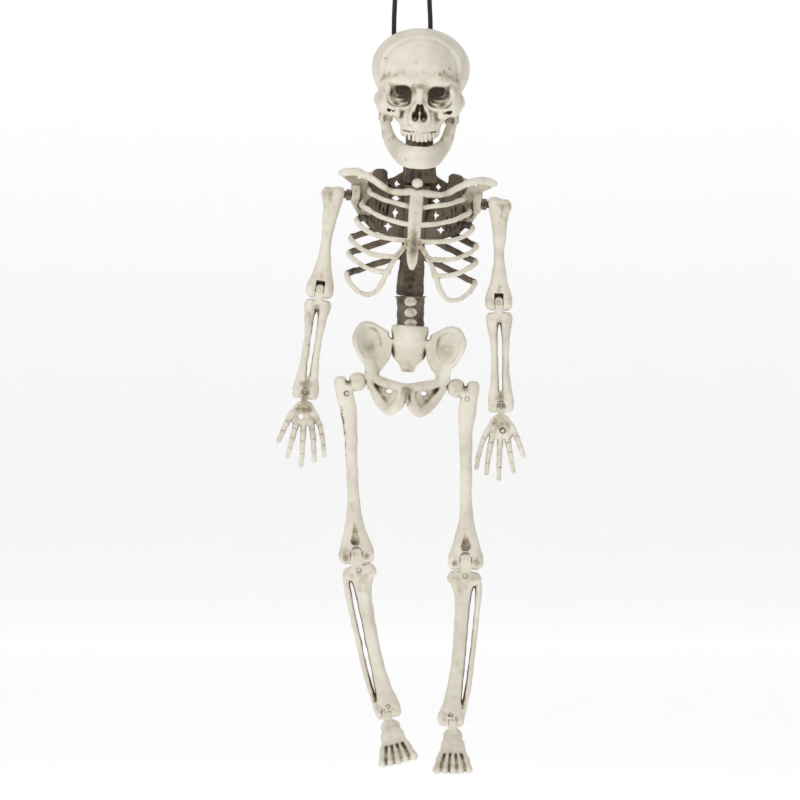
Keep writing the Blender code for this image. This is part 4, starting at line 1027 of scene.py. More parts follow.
def strap(path, hub, thick, tall, power=2.4):
    """A bar along a path, whose thickness points away from the upright line at hub."""
    spots = np.array(path, float)
    thick = np.broadcast_to(np.array(thick, float), len(spots))
    tall = np.broadcast_to(np.array(tall, float), len(spots))
    along = np.gradient(spots, axis=0)
    along /= np.linalg.norm(along, axis=1, keepdims=True)
    out = np.stack([spots[:, 0] - hub[0], spots[:, 1] - hub[1], np.zeros(len(spots))], axis=1)
    out -= along * np.sum(out * along, axis=1, keepdims=True)
    out /= np.linalg.norm(out, axis=1, keepdims=True)
    up = np.cross(along, out)
    reach = np.maximum(thick, tall)[:, None]

    def distance(x, y, z):
        best = None
        for i in range(len(spots) - 1):
            a, ab = spots[i], spots[i + 1] - spots[i]
            length = float(np.linalg.norm(ab))
            px, py, pz = x - a[0], y - a[1], z - a[2]
            run = (px * ab[0] + py * ab[1] + pz * ab[2]) / length**2
            t = np.clip(run, 0.0, 1.0)
            o, w = out[i] + out[i + 1], up[i] + up[i + 1]
            o, w = o / np.linalg.norm(o), w / np.linalg.norm(w)
            px, py, pz = px - t * ab[0], py - t * ab[1], pz - t * ab[2]
            u = np.abs(px * o[0] + py * o[1] + pz * o[2]) / (thick[i] + t * (thick[i + 1] - thick[i]))
            v = np.abs(px * w[0] + py * w[1] + pz * w[2]) / (tall[i] + t * (tall[i + 1] - tall[i]))
            r = np.sqrt(px * px + py * py + pz * pz)
            q = (u**power + v**power) ** (1.0 / power)
            small = min(thick[i], tall[i])
            d = np.where(q > 0.2, r - r / np.maximum(q, 0.2), -small)
            d = np.maximum(d, np.abs(run - t) * length - 0.6)
            best = d if best is None else np.minimum(best, d)
        return best

    return (spots - reach).min(0), (spots + reach).max(0), distance


def blade(rim, centre, thickness, rounding=0.8):
    """A dished plate inside a rim of points, with its middle point at centre."""
    edge = smooth_line([*rim, rim[0]], 6 * len(rim))
    anchors = np.vstack([edge[::2], np.array([centre])])
    xs, zs = edge[:, 0], edge[:, 2]

    def distance(x, y, z):
        x, z = np.broadcast_arrays(x, z)
        weight, total = np.zeros(x.shape), np.zeros(x.shape)
        for ax, ay, az in anchors:
            w = 1.0 / ((x - ax) ** 2 + (z - az) ** 2 + 1.0) ** 1.5
            weight, total = weight + w, total + w * ay
        near, odd = np.full(x.shape, 1e6), np.zeros(x.shape, bool)
        for i in range(len(edge) - 1):
            dx, dz = xs[i + 1] - xs[i], zs[i + 1] - zs[i]
            t = np.clip(((x - xs[i]) * dx + (z - zs[i]) * dz) / max(dx * dx + dz * dz, 1e-9), 0.0, 1.0)
            near = np.minimum(near, (x - xs[i] - t * dx) ** 2 + (z - zs[i] - t * dz) ** 2)
            crosses = (zs[i] > z) != (zs[i + 1] > z)
            rise = dz if abs(dz) > 1e-9 else 1e-9
            odd ^= crosses & (x < xs[i] + (z - zs[i]) * dx / rise)
        flat = np.sqrt(near) * np.where(odd, -1.0, 1.0)
        level = total / weight + thickness / 2
        return -smooth_min(-flat, thickness / 2 - np.abs(y - level), rounding)

    low = edge.min(0) - np.array([0.0, 1.0, 0.0])
    high = edge.max(0) + np.array([0.0, thickness + 1.0, 0.0])
    low[1], high[1] = min(low[1], centre[1] - 1.0), max(high[1], centre[1] + thickness + 1.0)
    return low, high, distance


# ---------------------------------------------------------------- head

TEETH_SHIFT = 1.0


def seam_depth(z):
    """Where the skull's two mouldings meet above its base."""
    return np.interp(z, (-21.8, 15.0), (-12.0, -17.5)).astype(np.float32)


def behind_seam(x, y, z):
    upper = np.maximum(seam_depth(z) - y, -21.8 - z)
    return np.minimum(upper, 6.0 - y) + 0.0 * x


def shape_face(clay):
    """Brow, sockets, nose, cheekbones and upper jaw."""
    levels = [
        (-39.4, TEETH_SHIFT, -16.2, 9.6, 7.8), (-36.6, TEETH_SHIFT, -15.2, 10.6, 9.4),
        (-32.6, TEETH_SHIFT, -12.8, 11.0, 12.0), (-28.5, 0.6, -8.4, 14.2, 16.2),
        (-24.0, 0.0, -5.8, 17.6, 19.0),
        (-19.0, 0.0, -2.4, 20.4, 22.8), (-13.0, 0.0, -0.2, 22.2, 26.0), (-6.0, 0.0, 0.8, 24.2, 27.6),
    ]
    clay.add(stack(levels, 2.2, 2.0), 2.5)
    clay.even()
    for side in SIDES.values():
        brow = smooth_line([
            (1.6, -23.8, -10.6), (7.0, -24.4, -10.2), (12.8, -23.4, -10.0), (18.6, -19.8, -11.2),
            (21.2, -15.0, -15.4),
        ], 24)
        clay.add(tube(mirrored(brow, side), 1.5), 4.0)
        clay.add(ellipsoid((side * 18.4, -15.0, -17.0), (3.6, 6.6, 8.0)), 2.0)
        clay.cut(ellipsoid((side * 26.6, -13.0, -12.6), (4.4, 8.5, 5.6)), 2.0)
        clay.add(ellipsoid((side * 17.6, -16.6, -22.4), (5.4, 6.6, 5.6)), 2.4)
        cheek = smooth_line(
            [(21.4, -14.6, -18.6), (19.6, -18.6, -22.0), (16.6, -21.0, -25.0), (12.4, -22.6, -27.4)], 18
        )
        clay.add(tube(mirrored(cheek, side), 2.7), 1.6)
        arch = smooth_line(
            [(21.2, -15.0, -18.8), (22.4, -8.0, -19.8), (21.8, 0.0, -20.4), (19.6, 4.4, -21.4)], 18
        )
        clay.add(tube(mirrored(arch, side), 2.1), 1.4)
        clay.add(disc((side * 16.4, *JAW_HINGE[1:]), (1, 0, 0), 3.6, 2.4, 0.8), 1.0)
        clay.cut(ellipsoid((side * 17.0, -21.0, -34.0), (5.0, 9.0, 4.6)), 1.2)
        lower_lid = smooth_line([
            (16.8, -21.6, -13.6), (17.5, -20.8, -18.4), (15.4, -22.2, -23.2), (10.0, -23.4, -24.6),
            (5.0, -24.0, -22.6),
        ], 24)
        clay.add(tube(mirrored(lower_lid, side), 1.3), 2.0)
    clay.add(tube([(0.0, -24.0, -11.0), (0.1, -25.2, -16.5), (0.3, -25.6, -21.8)], [2.6, 2.1, 1.6]), 1.6)
    clay.cut(tube([(-3.0, -27.0, -13.0), (3.0, -27.0, -13.0)], 0.8), 1.2)
    for half in (-1, 1):
        nostril = smooth_line([
            (0.0, -25.2, -21.2), (2.6, -24.8, -23.8), (4.8, -24.2, -28.4), (4.2, -24.2, -32.0),
            (0.0, -24.8, -33.2),
        ], 24)
        clay.add(tube(nostril * np.array([half, 1, 1]) + np.array([0.4, 0, 0]), 1.15), 1.0)
    clay.remember()
    for side in SIDES.values():
        for step in range(4):
            wide, tall = 6.5 - 1.3 * step, 5.7 - 1.25 * step
            deep = -22.6 + 1.1 * step
            middle = (side * (10.9 - 0.3 * step), -30.0, -18.2 + 1.1 * step)

            def ring(x, y, z, wide=wide, tall=tall, deep=deep, middle=middle):
                q = (np.abs((x - middle[0]) / wide) ** 3 + np.abs((z - middle[2]) / tall) ** 3) ** (1 / 3)
                return -smooth_min(-((q - 1.0) * tall + 0.12 * (y - deep)), deep - y, 0.3)

            low = (middle[0] - 7.5, -31.0, middle[2] - 7.0)
            clay.cut((low, (middle[0] + 7.5, deep, middle[2] + 7.0), ring), 0.15)
        crack = [(18.6, -21.2, -23.9), (16.0, -23.2, -26.0), (12.4, -24.2, -26.8)]
        clay.cut(tube(mirrored(crack, side), [0.5, 0.9, 0.6]), 0.3)
        clay.cut(tube(mirrored(
            [(25.4, -5.0, -5.0), (25.0, -7.6, -8.4), (23.6, -11.0, -12.2)], side
        ), [0.4, 0.9, 0.6]), 0.5)
        clay.cut(ellipsoid((side * 3.7, -26.6, -15.6), (1.9, 2.6, 3.6)), 0.5)
        clay.cut(ellipsoid((side * 12.8, -24.6, -32.0), (2.0, 3.4, 3.2)), 0.9)
        clay.cut(tube(
            [(0.4 + side * 0.9, -28.0, -23.2), (0.4 + side * 1.3, -28.0, -25.6)], [0.9, 1.3], (1, 5, 1)
        ), 0.3)
        clay.cut(ellipsoid((0.4 + side * 2.2, -26.6, -28.6), (2.2, 6.0, 3.4)), 0.3)
        clay.add(ellipsoid((0.4 + side * 2.3, -20.6, -30.4), (1.7, 2.6, 1.7)), 0.3)


def add_upper_teeth(clay):
    """Ten teeth that rise towards the sides, parted by grooves, under a dark gum line."""
    count, width = 10, 2.22
    for k in range(2 * count + 1):
        turn = (k - count) * width / 2
        x = TEETH_SHIFT + turn * (1.0 - 0.0012 * turn * turn)
        y = -23.9 + 0.055 * turn * turn
        low = -42.4 + 0.035 * turn * turn
        if k % 2:
            clay.add(tube([(x, y + 0.5, -33.0), (x, y, -37.0)], [0.5, 0.9]), 0.7)
            clay.add(
                tube([(x, y - 0.1, -38.0), (x, y - 0.4, low + 0.9)], [1.05, 1.15], (1.0, 0.85, 1.0)), 0.1
            )
        else:
            clay.cut(tube([(x, y - 1.1, -37.6), (x, y - 1.5, low - 0.8)], 0.4), 0.15)
    gum = [
        (x + TEETH_SHIFT, -24.9 + 0.055 * x * x, -37.4 + 0.015 * x * x)
        for x in (-10, -7.5, -5, -2.5, 0, 2.5, 5, 7.5, 10)
    ]
    clay.cut(tube(gum, 0.4), 0.3)


def build_skull():
    clay = Clay((-28.2, -29.6, -43.6), (28.2, 31.6, 22.6), 0.46)
    clay.add(ellipsoid((0.0, 1.1, -1.0), (26.4, 28.3, 21.3)))
    shape_face(clay)
    add_upper_teeth(clay)
    clay.add(ellipsoid((0.0, 24.0, -8.0), (11.0, 5.2, 7.0)), 3.0)
    clay.wobble(7.0, 0.07, 3)

    def hollow(x, y, z):
        inner = ellipsoid((0.0, 1.1, -1.0), (24.4, 26.5, 19.3))[2](x, y, z)
        return np.maximum(np.maximum(inner, -19.4 - z), -18.2 - y)

    clay.cut(((-25.0, -19.0, -19.5), (25.0, 29.0, 19.0), hollow), 0.8)
    clay.cut(tube([in_head((*NECK_AXIS, -112.7)), in_head((*NECK_AXIS, -82.7))], 4.5))
    hinge = disc(JAW_HINGE, (1, 0, 0), JAW_PIN_RADIUS + GAP, 24.0, 0.0)
    clay.cut(hinge)
    back = Clay((-28.2, -29.6, -43.6), (28.2, 31.6, 22.6), 0.46)
    back.field = clay.field.copy()

    spots = [g.astype(np.float32) for g in np.meshgrid(*clay.axes, indexing="ij", sparse=True)]
    ahead = seam_depth(spots[2]) - spots[1]
    high = np.clip((spots[2] + 12.0) / 8.0, 0.0, 1.0)
    clay.field -= 0.8 * high * np.exp(-(((ahead - 0.9) / 0.8) ** 2))
    clay.field += 0.4 * high * np.exp(-(((ahead - 3.0) / 0.6) ** 2))
    back.field += 1.0 * high * np.exp(-(((ahead + 0.6) / 0.6) ** 2))
    clay.keep(lambda x, y, z: -behind_seam(x, y, z))
    back.keep(lambda x, y, z: behind_seam(x, y, z) + GAP)
    for x in (CORD_ROUTE[0][0], CORD_ROUTE[-1][0]):
        back.cut(tube([in_head((x, 4.0, -70.0)), in_head((x, 4.0, -40.0))], CORD_RADIUS + 0.5), 0.3)
    back.cut(tube([(1.0, -16.0, 20.2), (1.1, -9.0, 20.9), (1.0, -2.0, 21.0)], [1.0, 0.8, 0.3]), 0.2)
    suture = smooth_line([
        (0.6, -12.0, 19.2), (-0.5, -4.0, 20.3), (0.6, 5.0, 20.2), (-0.5, 13.0, 18.2), (0.3, 20.5, 13.6),
        (0.0, 25.8, 6.6),
    ], 60)
    suture[:, 0] += 0.8 * np.sin(np.arange(60) * 1.9)
    back.cut(tube(suture, 0.42), 0.2)
    for side in SIDES.values():
        wing = smooth_line([
            (0.0, 26.4, 5.4), (side * 9.0, 25.4, 1.0), (side * 17.0, 19.6, -5.0),
            (side * 21.4, 11.0, -11.0),
        ], 44)
        wing[:, 2] += 0.8 * np.sin(np.arange(44) * 1.9)
        back.cut(tube(wing, 0.42), 0.2)
    stains_and_shade = [((x, -20.0, z), r, 0.42) for x, z, r in (
        (12.4, -4.2, 0.9), (15.0, -2.4, 0.7), (10.2, -6.0, 0.7), (-21.0, -10.5, 1.6), (22.6, -10.0, 1.8),
        (-19.0, 2.0, 0.8),
    )]
    stains_and_shade = [((s[0], clay.front(s[0], s[2]), s[2]), r, d) for s, r, d in stains_and_shade]
    stains_and_shade += [((side * 10.8, -19.5, -16.4), 4.6, 0.3) for side in SIDES.values()]
    stains_and_shade += [((-14.5, -20.0, -29.5), 3.0, 0.3), ((15.5, -20.0, -29.5), 3.0, 0.3)]
    piece("bone_skull_face", clay, "head", IVORY, HEAD_CENTRE, HEAD_TILT, stains_and_shade=stains_and_shade)
    piece("bone_skull_back", back, "head", IVORY, HEAD_CENTRE, HEAD_TILT)


def build_jaw():
    """The lower jaw: a tall smooth arch with upright ends."""
    clay = Clay((-23.5, -29.0, -58.0), (23.5, 8.0, -20.0), 0.48)
    half = [
        (19.8, 3.0, -25.2), (19.3, 2.4, -29.0), (17.9, 0.0, -35.0), (15.8, -4.0, -40.0),
        (13.0, -9.6, -44.2), (10.2, -15.2, -47.2), (7.2, -20.4, -49.6), (3.6, -23.4, -50.6),
    ]
    path = [*mirrored(half, -1), (0.0, -24.2, -50.8), *half[::-1]]
    thick = [1.3, 1.4, 1.6, 1.8, 1.9, 2.0, 2.1, 2.2]
    tall = [2.6, 3.6, 4.6, 4.4, 4.6, 5.2, 5.8, 6.0]
    line = smooth_line(path, 49)
    line[:, 0] += 1.0 * np.clip((3.0 - line[:, 1]) / 28.0, 0.0, 1.0)
    share = np.linspace(0.0, 1.0, 49)
    places = np.linspace(0.0, 1.0, 17)
    thick = np.interp(share, places, [*thick, 2.2, *thick[::-1]])
    tall = np.interp(share, places, [*tall, 6.0, *tall[::-1]])
    clay.add(strap(line, (0.0, 2.0), thick, tall, 2.8))
    clay.add(ellipsoid((1.0, -23.4, -52.6), (5.4, 3.2, 3.2)), 1.4)
    for side in SIDES.values():
        clay.add(tube([(side * 19.0, 0.8, -31.0), (side * 19.4, -3.0, -25.6)], [1.5, 1.1]), 1.0)
        clay.add(disc((side * 20.3, *JAW_HINGE[1:]), (1, 0, 0), 3.0, 1.4, 0.5), 0.6)
        clay.add(tube([(side * 16.6, -4.4, -31.5), (side * 14.8, -9.4, -38.4)], [1.7, 2.2]), 1.8)
        clay.cut(ellipsoid((1.0 + side * 8.0, -23.6, -50.6), (0.8, 0.9, 0.6)), 0.3)
    clay.wobble(8.0, 0.1, 5)
    clay.cut(disc(JAW_HINGE, (1, 0, 0), JAW_PIN_RADIUS + GAP, 24.0, 0.0))
    stains_and_shade = [((x, -24.0, z), r, 0.4) for x, z, r in (
        (-6.0, -52.0, 0.9), (-3.0, -49.6, 0.7), (5.0, -53.6, 0.9), (8.6, -50.8, 0.8), (2.6, -47.6, 0.7))]
    stains_and_shade += [((side * 19.0, -1.0, -37.0), 3.4, 0.35) for side in SIDES.values()]
    stains_and_shade.append(((0.0, -20.0, -42.8), 6.0, 0.3))
    piece("bone_jaw", clay, "jaw", IVORY, HEAD_CENTRE, HEAD_TILT, stains_and_shade=stains_and_shade)


# ---------------------------------------------------------------- neck and chest

RIBS = [
    ([(2.0, -10.2), (10.0, -8.6), (17.5, -6.9), (22.5, -4.6), (25.4, -2.2)], 15.4),
    ([(2.0, -19.7), (11.0, -18.2), (19.5, -15.8), (25.5, -12.6), (29.0, -9.4)], 17.2),
    ([(2.0, -28.3), (12.0, -27.8), (20.0, -26.4), (27.0, -23.2), (31.2, -18.2)], 18.4),
    ([(8.4, -37.2), (15.0, -37.2), (22.3, -36.2), (29.8, -32.6), (33.8, -27.8)], 19.0),
    ([(12.3, -45.8), (18.0, -45.4), (23.5, -44.2), (30.0, -40.6), (34.2, -36.2)], 18.5),
    ([(14.9, -50.8), (17.6, -55.6), (21.4, -58.2), (26.5, -57.4), (31.6, -53.4), (34.6, -47.4)], 17.5),
]
BACK_DEPTH, BACK_RISE = 16.2, 15.0
CLAVICLE = [(2.0, -1.8), (9.0, -2.6), (14.3, -2.2), (21.0, 1.8), (27.0, 5.2), (34.0, 7.2), (41.3, 6.2)]


def build_neck():
    """The neck: ridged from top to bottom, with a swivelling stem inside the skull."""
    x, y = NECK_AXIS
    clay = Clay((x - 10.6, y - 10.6, -139.5), (x + 10.6, y + 10.6, -82.5), 0.5)
    clay.add(stack([(-138.5, x, y, 3.4, 3.4), (-129.0, x, y, 3.4, 3.4)], 2.0, 0.4))
    rings = []
    for i in range(13):
        z = -130.4 + 2.2 * i
        wide = 6.5 + 0.4 * (i % 2) + 2.0 * max(0.0, 1.0 - i / 7.0)
        rings.append((z, x, y, wide, wide))
    clay.add(stack(rings, 2.0, 0.8))
    for k in range(14):
        turn = math.tau * k / 14
        dx, dy = 6.7 * math.cos(turn), 6.7 * math.sin(turn)
        ridge = [
            (x + 1.3 * dx, y + 1.3 * dy, -129.6), (x + 1.04 * dx, y + 1.04 * dy, -115.0),
            (x + dx, y + dy, -105.6),
        ]
        clay.add(tube(ridge, [0.9, 0.85, 0.75]), 0.3)
    stem = [(-104.6, 5.6), (-101.4, 4.0), (-87.0, 4.0), (-86.6, 6.3), (-84.6, 6.3), (-83.6, 5.0)]
    clay.add(stack([(z, x, y, r, r) for z, r in stem], 2.0, 0.3), 0.3)
    clay.wobble(4.0, 0.1, 7)
    piece("bone_neck_post", clay, "torso", UMBER)


def build_ribcage_front():
    clay = Clay((-43.5, -20.6, -60.6), (43.5, 0.4, 10.6), 0.46)
    clay.add(stack([
        (-43.8, 0, -17.6, 1.0, 0.9), (-40.0, 0, -17.8, 2.6, 1.3), (-36.0, 0, -18.2, 3.1, 1.5),
        (-31.0, 0, -18.3, 3.5, 1.6), (-20.0, 0, -17.5, 3.6, 1.6), (-9.0, 0, -15.8, 3.8, 1.7),
        (-3.0, 0, -14.9, 3.4, 1.8), (-0.4, 0, -14.6, 2.3, 1.5),
    ], 2.6, 0.9))
    clay.add(ellipsoid((0.0, -14.8, 2.6), (3.0, 2.9, 3.0)), 0.2)
    margin = [(2.4, -29.6), (6.0, -33.4), (8.9, -37.6), (11.4, -42.4), (13.2, -46.6), (15.2, -51.6)]
    for side in SIDES.values():
        for points, depth in RIBS:
            side_x, side_z = points[-1]
            path = [(x, -depth * math.sqrt(1 - (x / side_x) ** 2), z) for x, z in points[:-1]]
            path += [(side_x - 0.2, -0.22 * depth, side_z - 1.2), (side_x, 1.2, side_z + 0.4)]
            line = smooth_line(mirrored(path, side), 26)
            radius = np.interp(np.linspace(0, 1, 26), (0.0, 0.25, 0.75, 1.0), (1.45, 1.3, 1.35, 1.5))
            clay.add(tube(line, radius, (1.0, 0.9, 1.0)), 0.35)
        edge = [(x, -18.2 * math.sqrt(1 - (x / 36.0) ** 2), z) for x, z in margin]
        clay.add(tube(smooth_line(mirrored(edge, side), 20), 1.45), 0.4)
        bar = smooth_line(mirrored([(x, -15.0 + 12.0 * (x - 3.0) / 38.0, z) for x, z in CLAVICLE], side), 30)
        sizes = np.interp(
            np.linspace(0, 1, 30), (0, 0.08, 0.3, 0.6, 0.85, 0.96, 1), (1.9, 2.1, 1.75, 1.8, 2.1, 2.1, 1.5)
        )
        clay.add(tube(bar, sizes, (1.0, 0.85, 1.0)), 0.5)
        for z in (-10.0, -19.6, -28.2):
            clay.cut(tube([(side * 3.9, -19.6, z + 1.9), (side * 3.4, -19.4, z - 1.9)], 0.45), 0.4)
    for side in SIDES.values():
        clay.cut(tube([
            (side * 0.7, -18.0, 0.8), (side * 1.6, -17.6, -2.0), (side * 3.4, -17.2, -4.6)
        ], [0.8, 0.7, 0.5]), 0.2)
    clay.wobble(7.0, 0.1, 13)
    clay.cut(slab((-60, -GAP / 2, -80), (60, 40, 40), 0.0))
    stains_and_shade = [((side * 15.0, -11.0, -1.6), 2.6, 0.35) for side in SIDES.values()]
    stains_and_shade += [((side * 4.6, -16.0, z), 1.6, 0.3) for side in SIDES.values() for z in (-10.2, -19.6)]
    piece("bone_ribcage_front", clay, "torso", IVORY, TORSO_TOP, TORSO_TILT, stains_and_shade=stains_and_shade)


def star(x_at, z_at, size):
    """A four-pointed hole right through from front to back."""

    def distance(x, y, z):
        q = np.abs((x - x_at) / size) ** 0.52 + np.abs((z - z_at) / size) ** 0.52
        return (q - 1.0) * size * 0.5 + 0.0 * y

    return (x_at - size, -2.0, z_at - size), (x_at + size, 20.0, z_at + size), distance


def build_ribcage_back():
    """The rear moulding: backbone, back plate with star-shaped holes, ribs and shoulder blades."""
    clay = Clay((-43.0, -0.6, -63.0), (43.0, 22.0, 14.6), 0.5)
    clay.add(stack([
        (-56.9, 0, 8.2, 7.4, 2.7), (-52.0, 0, 10.8, 7.4, 2.9), (-44.0, 0, 14.0, 7.0, 2.9),
        (-30.0, 0, 15.0, 6.2, 3.0), (-12.0, 0, 14.8, 6.0, 3.1), (-4.0, 0, 12.0, 6.8, 3.9),
        (2.6, 0, 7.6, 7.5, 6.3),
    ], 2.3, 0.8))

    def shell(x, y, z):
        a, b = x / 27.5, y / BACK_DEPTH
        k0, k1 = np.sqrt(a * a + b * b), np.sqrt((a / 27.5) ** 2 + (b / BACK_DEPTH) ** 2)
        wall = np.abs(k0 * (k0 - 1.0) / np.maximum(k1, 1e-6)) - 0.85
        top = z - (8.6 - 0.018 * x * x)
        low = -21.4 - 0.010 * (24.5**2 - x * x) - z
        return np.maximum(np.maximum(wall, np.maximum(top, low)), np.abs(x) - 25.0)

    clay.add(((-25.0, 2.0, -28.0), (25.0, 18.0, 8.8), shell), 0.5)
    for k in range(7):
        z = -50.5 + 7.6 * k
        y = float(np.interp(z, (-56, -52, -44, -30, -12, -4), (8.4, 10.8, 14.0, 15.0, 14.8, 12.0)))
        clay.add(ellipsoid((0.0, y - 0.8, z), (4.2, 3.2, 3.4)), 0.5)
        clay.add(tube([(0.0, y + 2.0, z), (0.0, min(y + 4.6, 20.4), z - 2.2)], [1.5, 0.9]), 0.7)
        clay.cut(tube([(-5.0, y - 3.6, z + 3.8), (5.0, y - 3.6, z + 3.8)], 0.6), 0.5)
    clay.add(tube([(-0.6, 7.4, -62.0), (0.0, 7.6, -55.0)], 2.4), 0.3)
    for side in SIDES.values():
        for points, _ in RIBS:
            side_x, side_z = points[-1]
            path = [(side_x, -1.2, side_z)]
            for part in (0.97, 0.82, 0.55, 0.1):
                depth = BACK_DEPTH * math.sqrt(1 - part**2)
                path.append((side_x * part, depth, side_z + BACK_RISE * (1 - part)))
            clay.add(strap(smooth_line(mirrored(path, side), 26), (0.0, 0.0), 0.95, 1.9), 0.5)
        rim = [
            (35.6, 2.4, 1.6), (34.6, 2.6, -8.0), (30.0, 3.6, -15.6), (22.0, 8.6, -21.0),
            (15.0, 11.6, -8.0), (17.0, 8.6, 8.6), (21.0, 6.8, 10.4), (27.0, 4.6, 8.0), (38.0, 1.2, 7.6),
            (40.6, 1.0, 4.8),
        ]
        clay.add(blade(mirrored(rim, side), (side * 28.0, 6.4, -2.0), 2.4), 0.5)
        clay.add(tube(mirrored([(34.2, 2.6, -7.0), (29.6, 3.8, -15.0), (22.4, 8.6, -20.0)], side), 1.2), 0.6)
        clay.add(tube(
            mirrored([(17.6, 10.4, 8.6), (27.0, 8.6, 4.4), (37.0, 4.6, 5.8)], side), [1.2, 1.5, 1.6]
        ), 0.9)
        low, high = sorted((side * 30.4, side * 34.9))
        clay.add(slab((low, 0.9, -10.0), (high, 7.6, 0.2), 0.8), 0.6)
        clay.cut(disc((side * 31.4, 3.0, 5.0), (0, 1, 0), 1.0, 6.0, 0.0), 0.3)
        for x, z in ((11.4, 3.2), (11.0, -4.6), (11.0, -12.2), (14.4, -20.0)):
            clay.cut(star(side * x, z, 2.9), 0.12)
        for k in range(5):
            x = side * (15.4 + 2.1 * k)
            clay.cut(tube([(x, 13.2 - 1.5 * k, 3.0), (x, 13.4 - 1.5 * k, -20.0)], 0.42), 0.45)
    clay.wobble(5.0, 0.14, 17)
    clay.cut(slab((-60, -40, -80), (60, GAP / 2, 40), 0.0))
    foot = [unleaned((*NECK_AXIS, z), TORSO_TOP, TORSO_TILT) for z in (-139.5, -120.0)]
    clay.cut(tube(foot, 3.9))
    for side in SIDES.values():
        clay.cut(tube([(side * 31.6, *SHOULDER[1:]), (side * 50.0, *SHOULDER[1:])], PEG_RADIUS + GAP))
    paler = (MOTTLED, lambda spots: (
        (np.abs(spots[:, 0]) > 25.5 + 1.5 * np.sin(spots[:, 2] / 2.0)) & (spots[:, 2] > -15.0)
    ))
    piece(
        "bone_ribcage_back", clay, "torso", UMBER, TORSO_TOP, TORSO_TILT,
        second=paler,
    )


def build_shoulder_pegs():
    for name, side in SIDES.items():
        y, z = SHOULDER[1:]
        clay = Clay((side * 39.0 - 7.5, y - 3.6, z - 3.6), (side * 39.0 + 7.5, y + 3.6, z + 3.6), 0.32)
        clay.add(disc((side * 38.85, y, z), (1, 0, 0), PEG_RADIUS, 6.65, 0.4))
        clay.add(disc((side * 36.65, y, z), (1, 0, 0), 3.0, 1.35, 0.4), 0.3)
        piece(
            f"bone_shoulder_peg_{name}", clay, "torso", UMBER, TORSO_TOP,
            TORSO_TILT,
        )


# ---------------------------------------------------------------- waist and pelvis

def build_lumbar():
    """Two half shells round the lower spine: three blocky bones between waisted stretches."""
    low, high = (-9.6, -8.0, -16.6), (9.6, 8.0, 9.0)
    whole = Clay(low, high, 0.4)
    whole.add(stack([
        (-8.4, 0, 0, 7.2, 6.2), (-6.4, 0, 0, 7.4, 6.0), (-4.2, 0, 0, 7.1, 5.6), (-1.6, 0, 0, 7.4, 6.0),
        (0.4, 0, 0, 7.3, 6.0), (2.4, 0, 0, 7.2, 5.6), (4.8, 0, 0, 7.5, 6.1), (7.4, 0, 0, 7.7, 6.3),
        (8.3, 0, 0, 9.2, 6.9),
    ], 2.2, 0.5))
    for z in (-6.4, -0.6, 5.2):
        for edge in (-1, 1):
            whole.cut(ellipsoid((edge * 3.6, -6.3, z), (1.0, 0.8, 1.7)), 0.4)
        whole.add(ellipsoid((0.0, -5.2, z), (2.9, 1.7, 2.1)), 0.5)
    for z in (-3.6, 2.0):
        whole.cut(tube([(-6.0, -6.6, z), (6.0, -6.6, z)], 0.9), 0.6)
    whole.wobble(4.0, 0.12, 19)
    whole.cut(stack([(-5.4, 0, 0, 4.9, 4.1), (10.4, 0, 0, 5.2, 4.3)], 2.0, 0.3))
    back = Clay(low, high, 0.4)
    back.field = whole.field.copy()
    whole.cut(slab((-20, -GAP / 2, -20), (20, 20, 20), 0.0))
    back.cut(slab((-20, -20, -20), (20, GAP / 2, 20), 0.0))
    stem = [(-15.9, 5.0), (-14.9, 5.9), (-14.2, 5.9), (-13.9, 4.2), (-8.0, 4.2)]
    back.add(stack([(z, 0, 0, r, r) for z, r in stem], 2.0, 0.2))

    def bare(spots):
        rows = [
            ((spots[:, 0] / 3.3) ** 2 + ((spots[:, 2] - z) / 2.5) ** 2 < 1.0) & (spots[:, 1] < 0.0)
            for z in (-6.4, -0.6, 5.2)
        ]
        return rows[0] | rows[1] | rows[2]

    fronts = (IVORY, bare)
    piece("bone_lumbar_front", whole, "torso", UMBER, LUMBAR_CENTRE, second=fronts)
    piece("bone_lumbar_back", back, "torso", UMBER, LUMBAR_CENTRE)


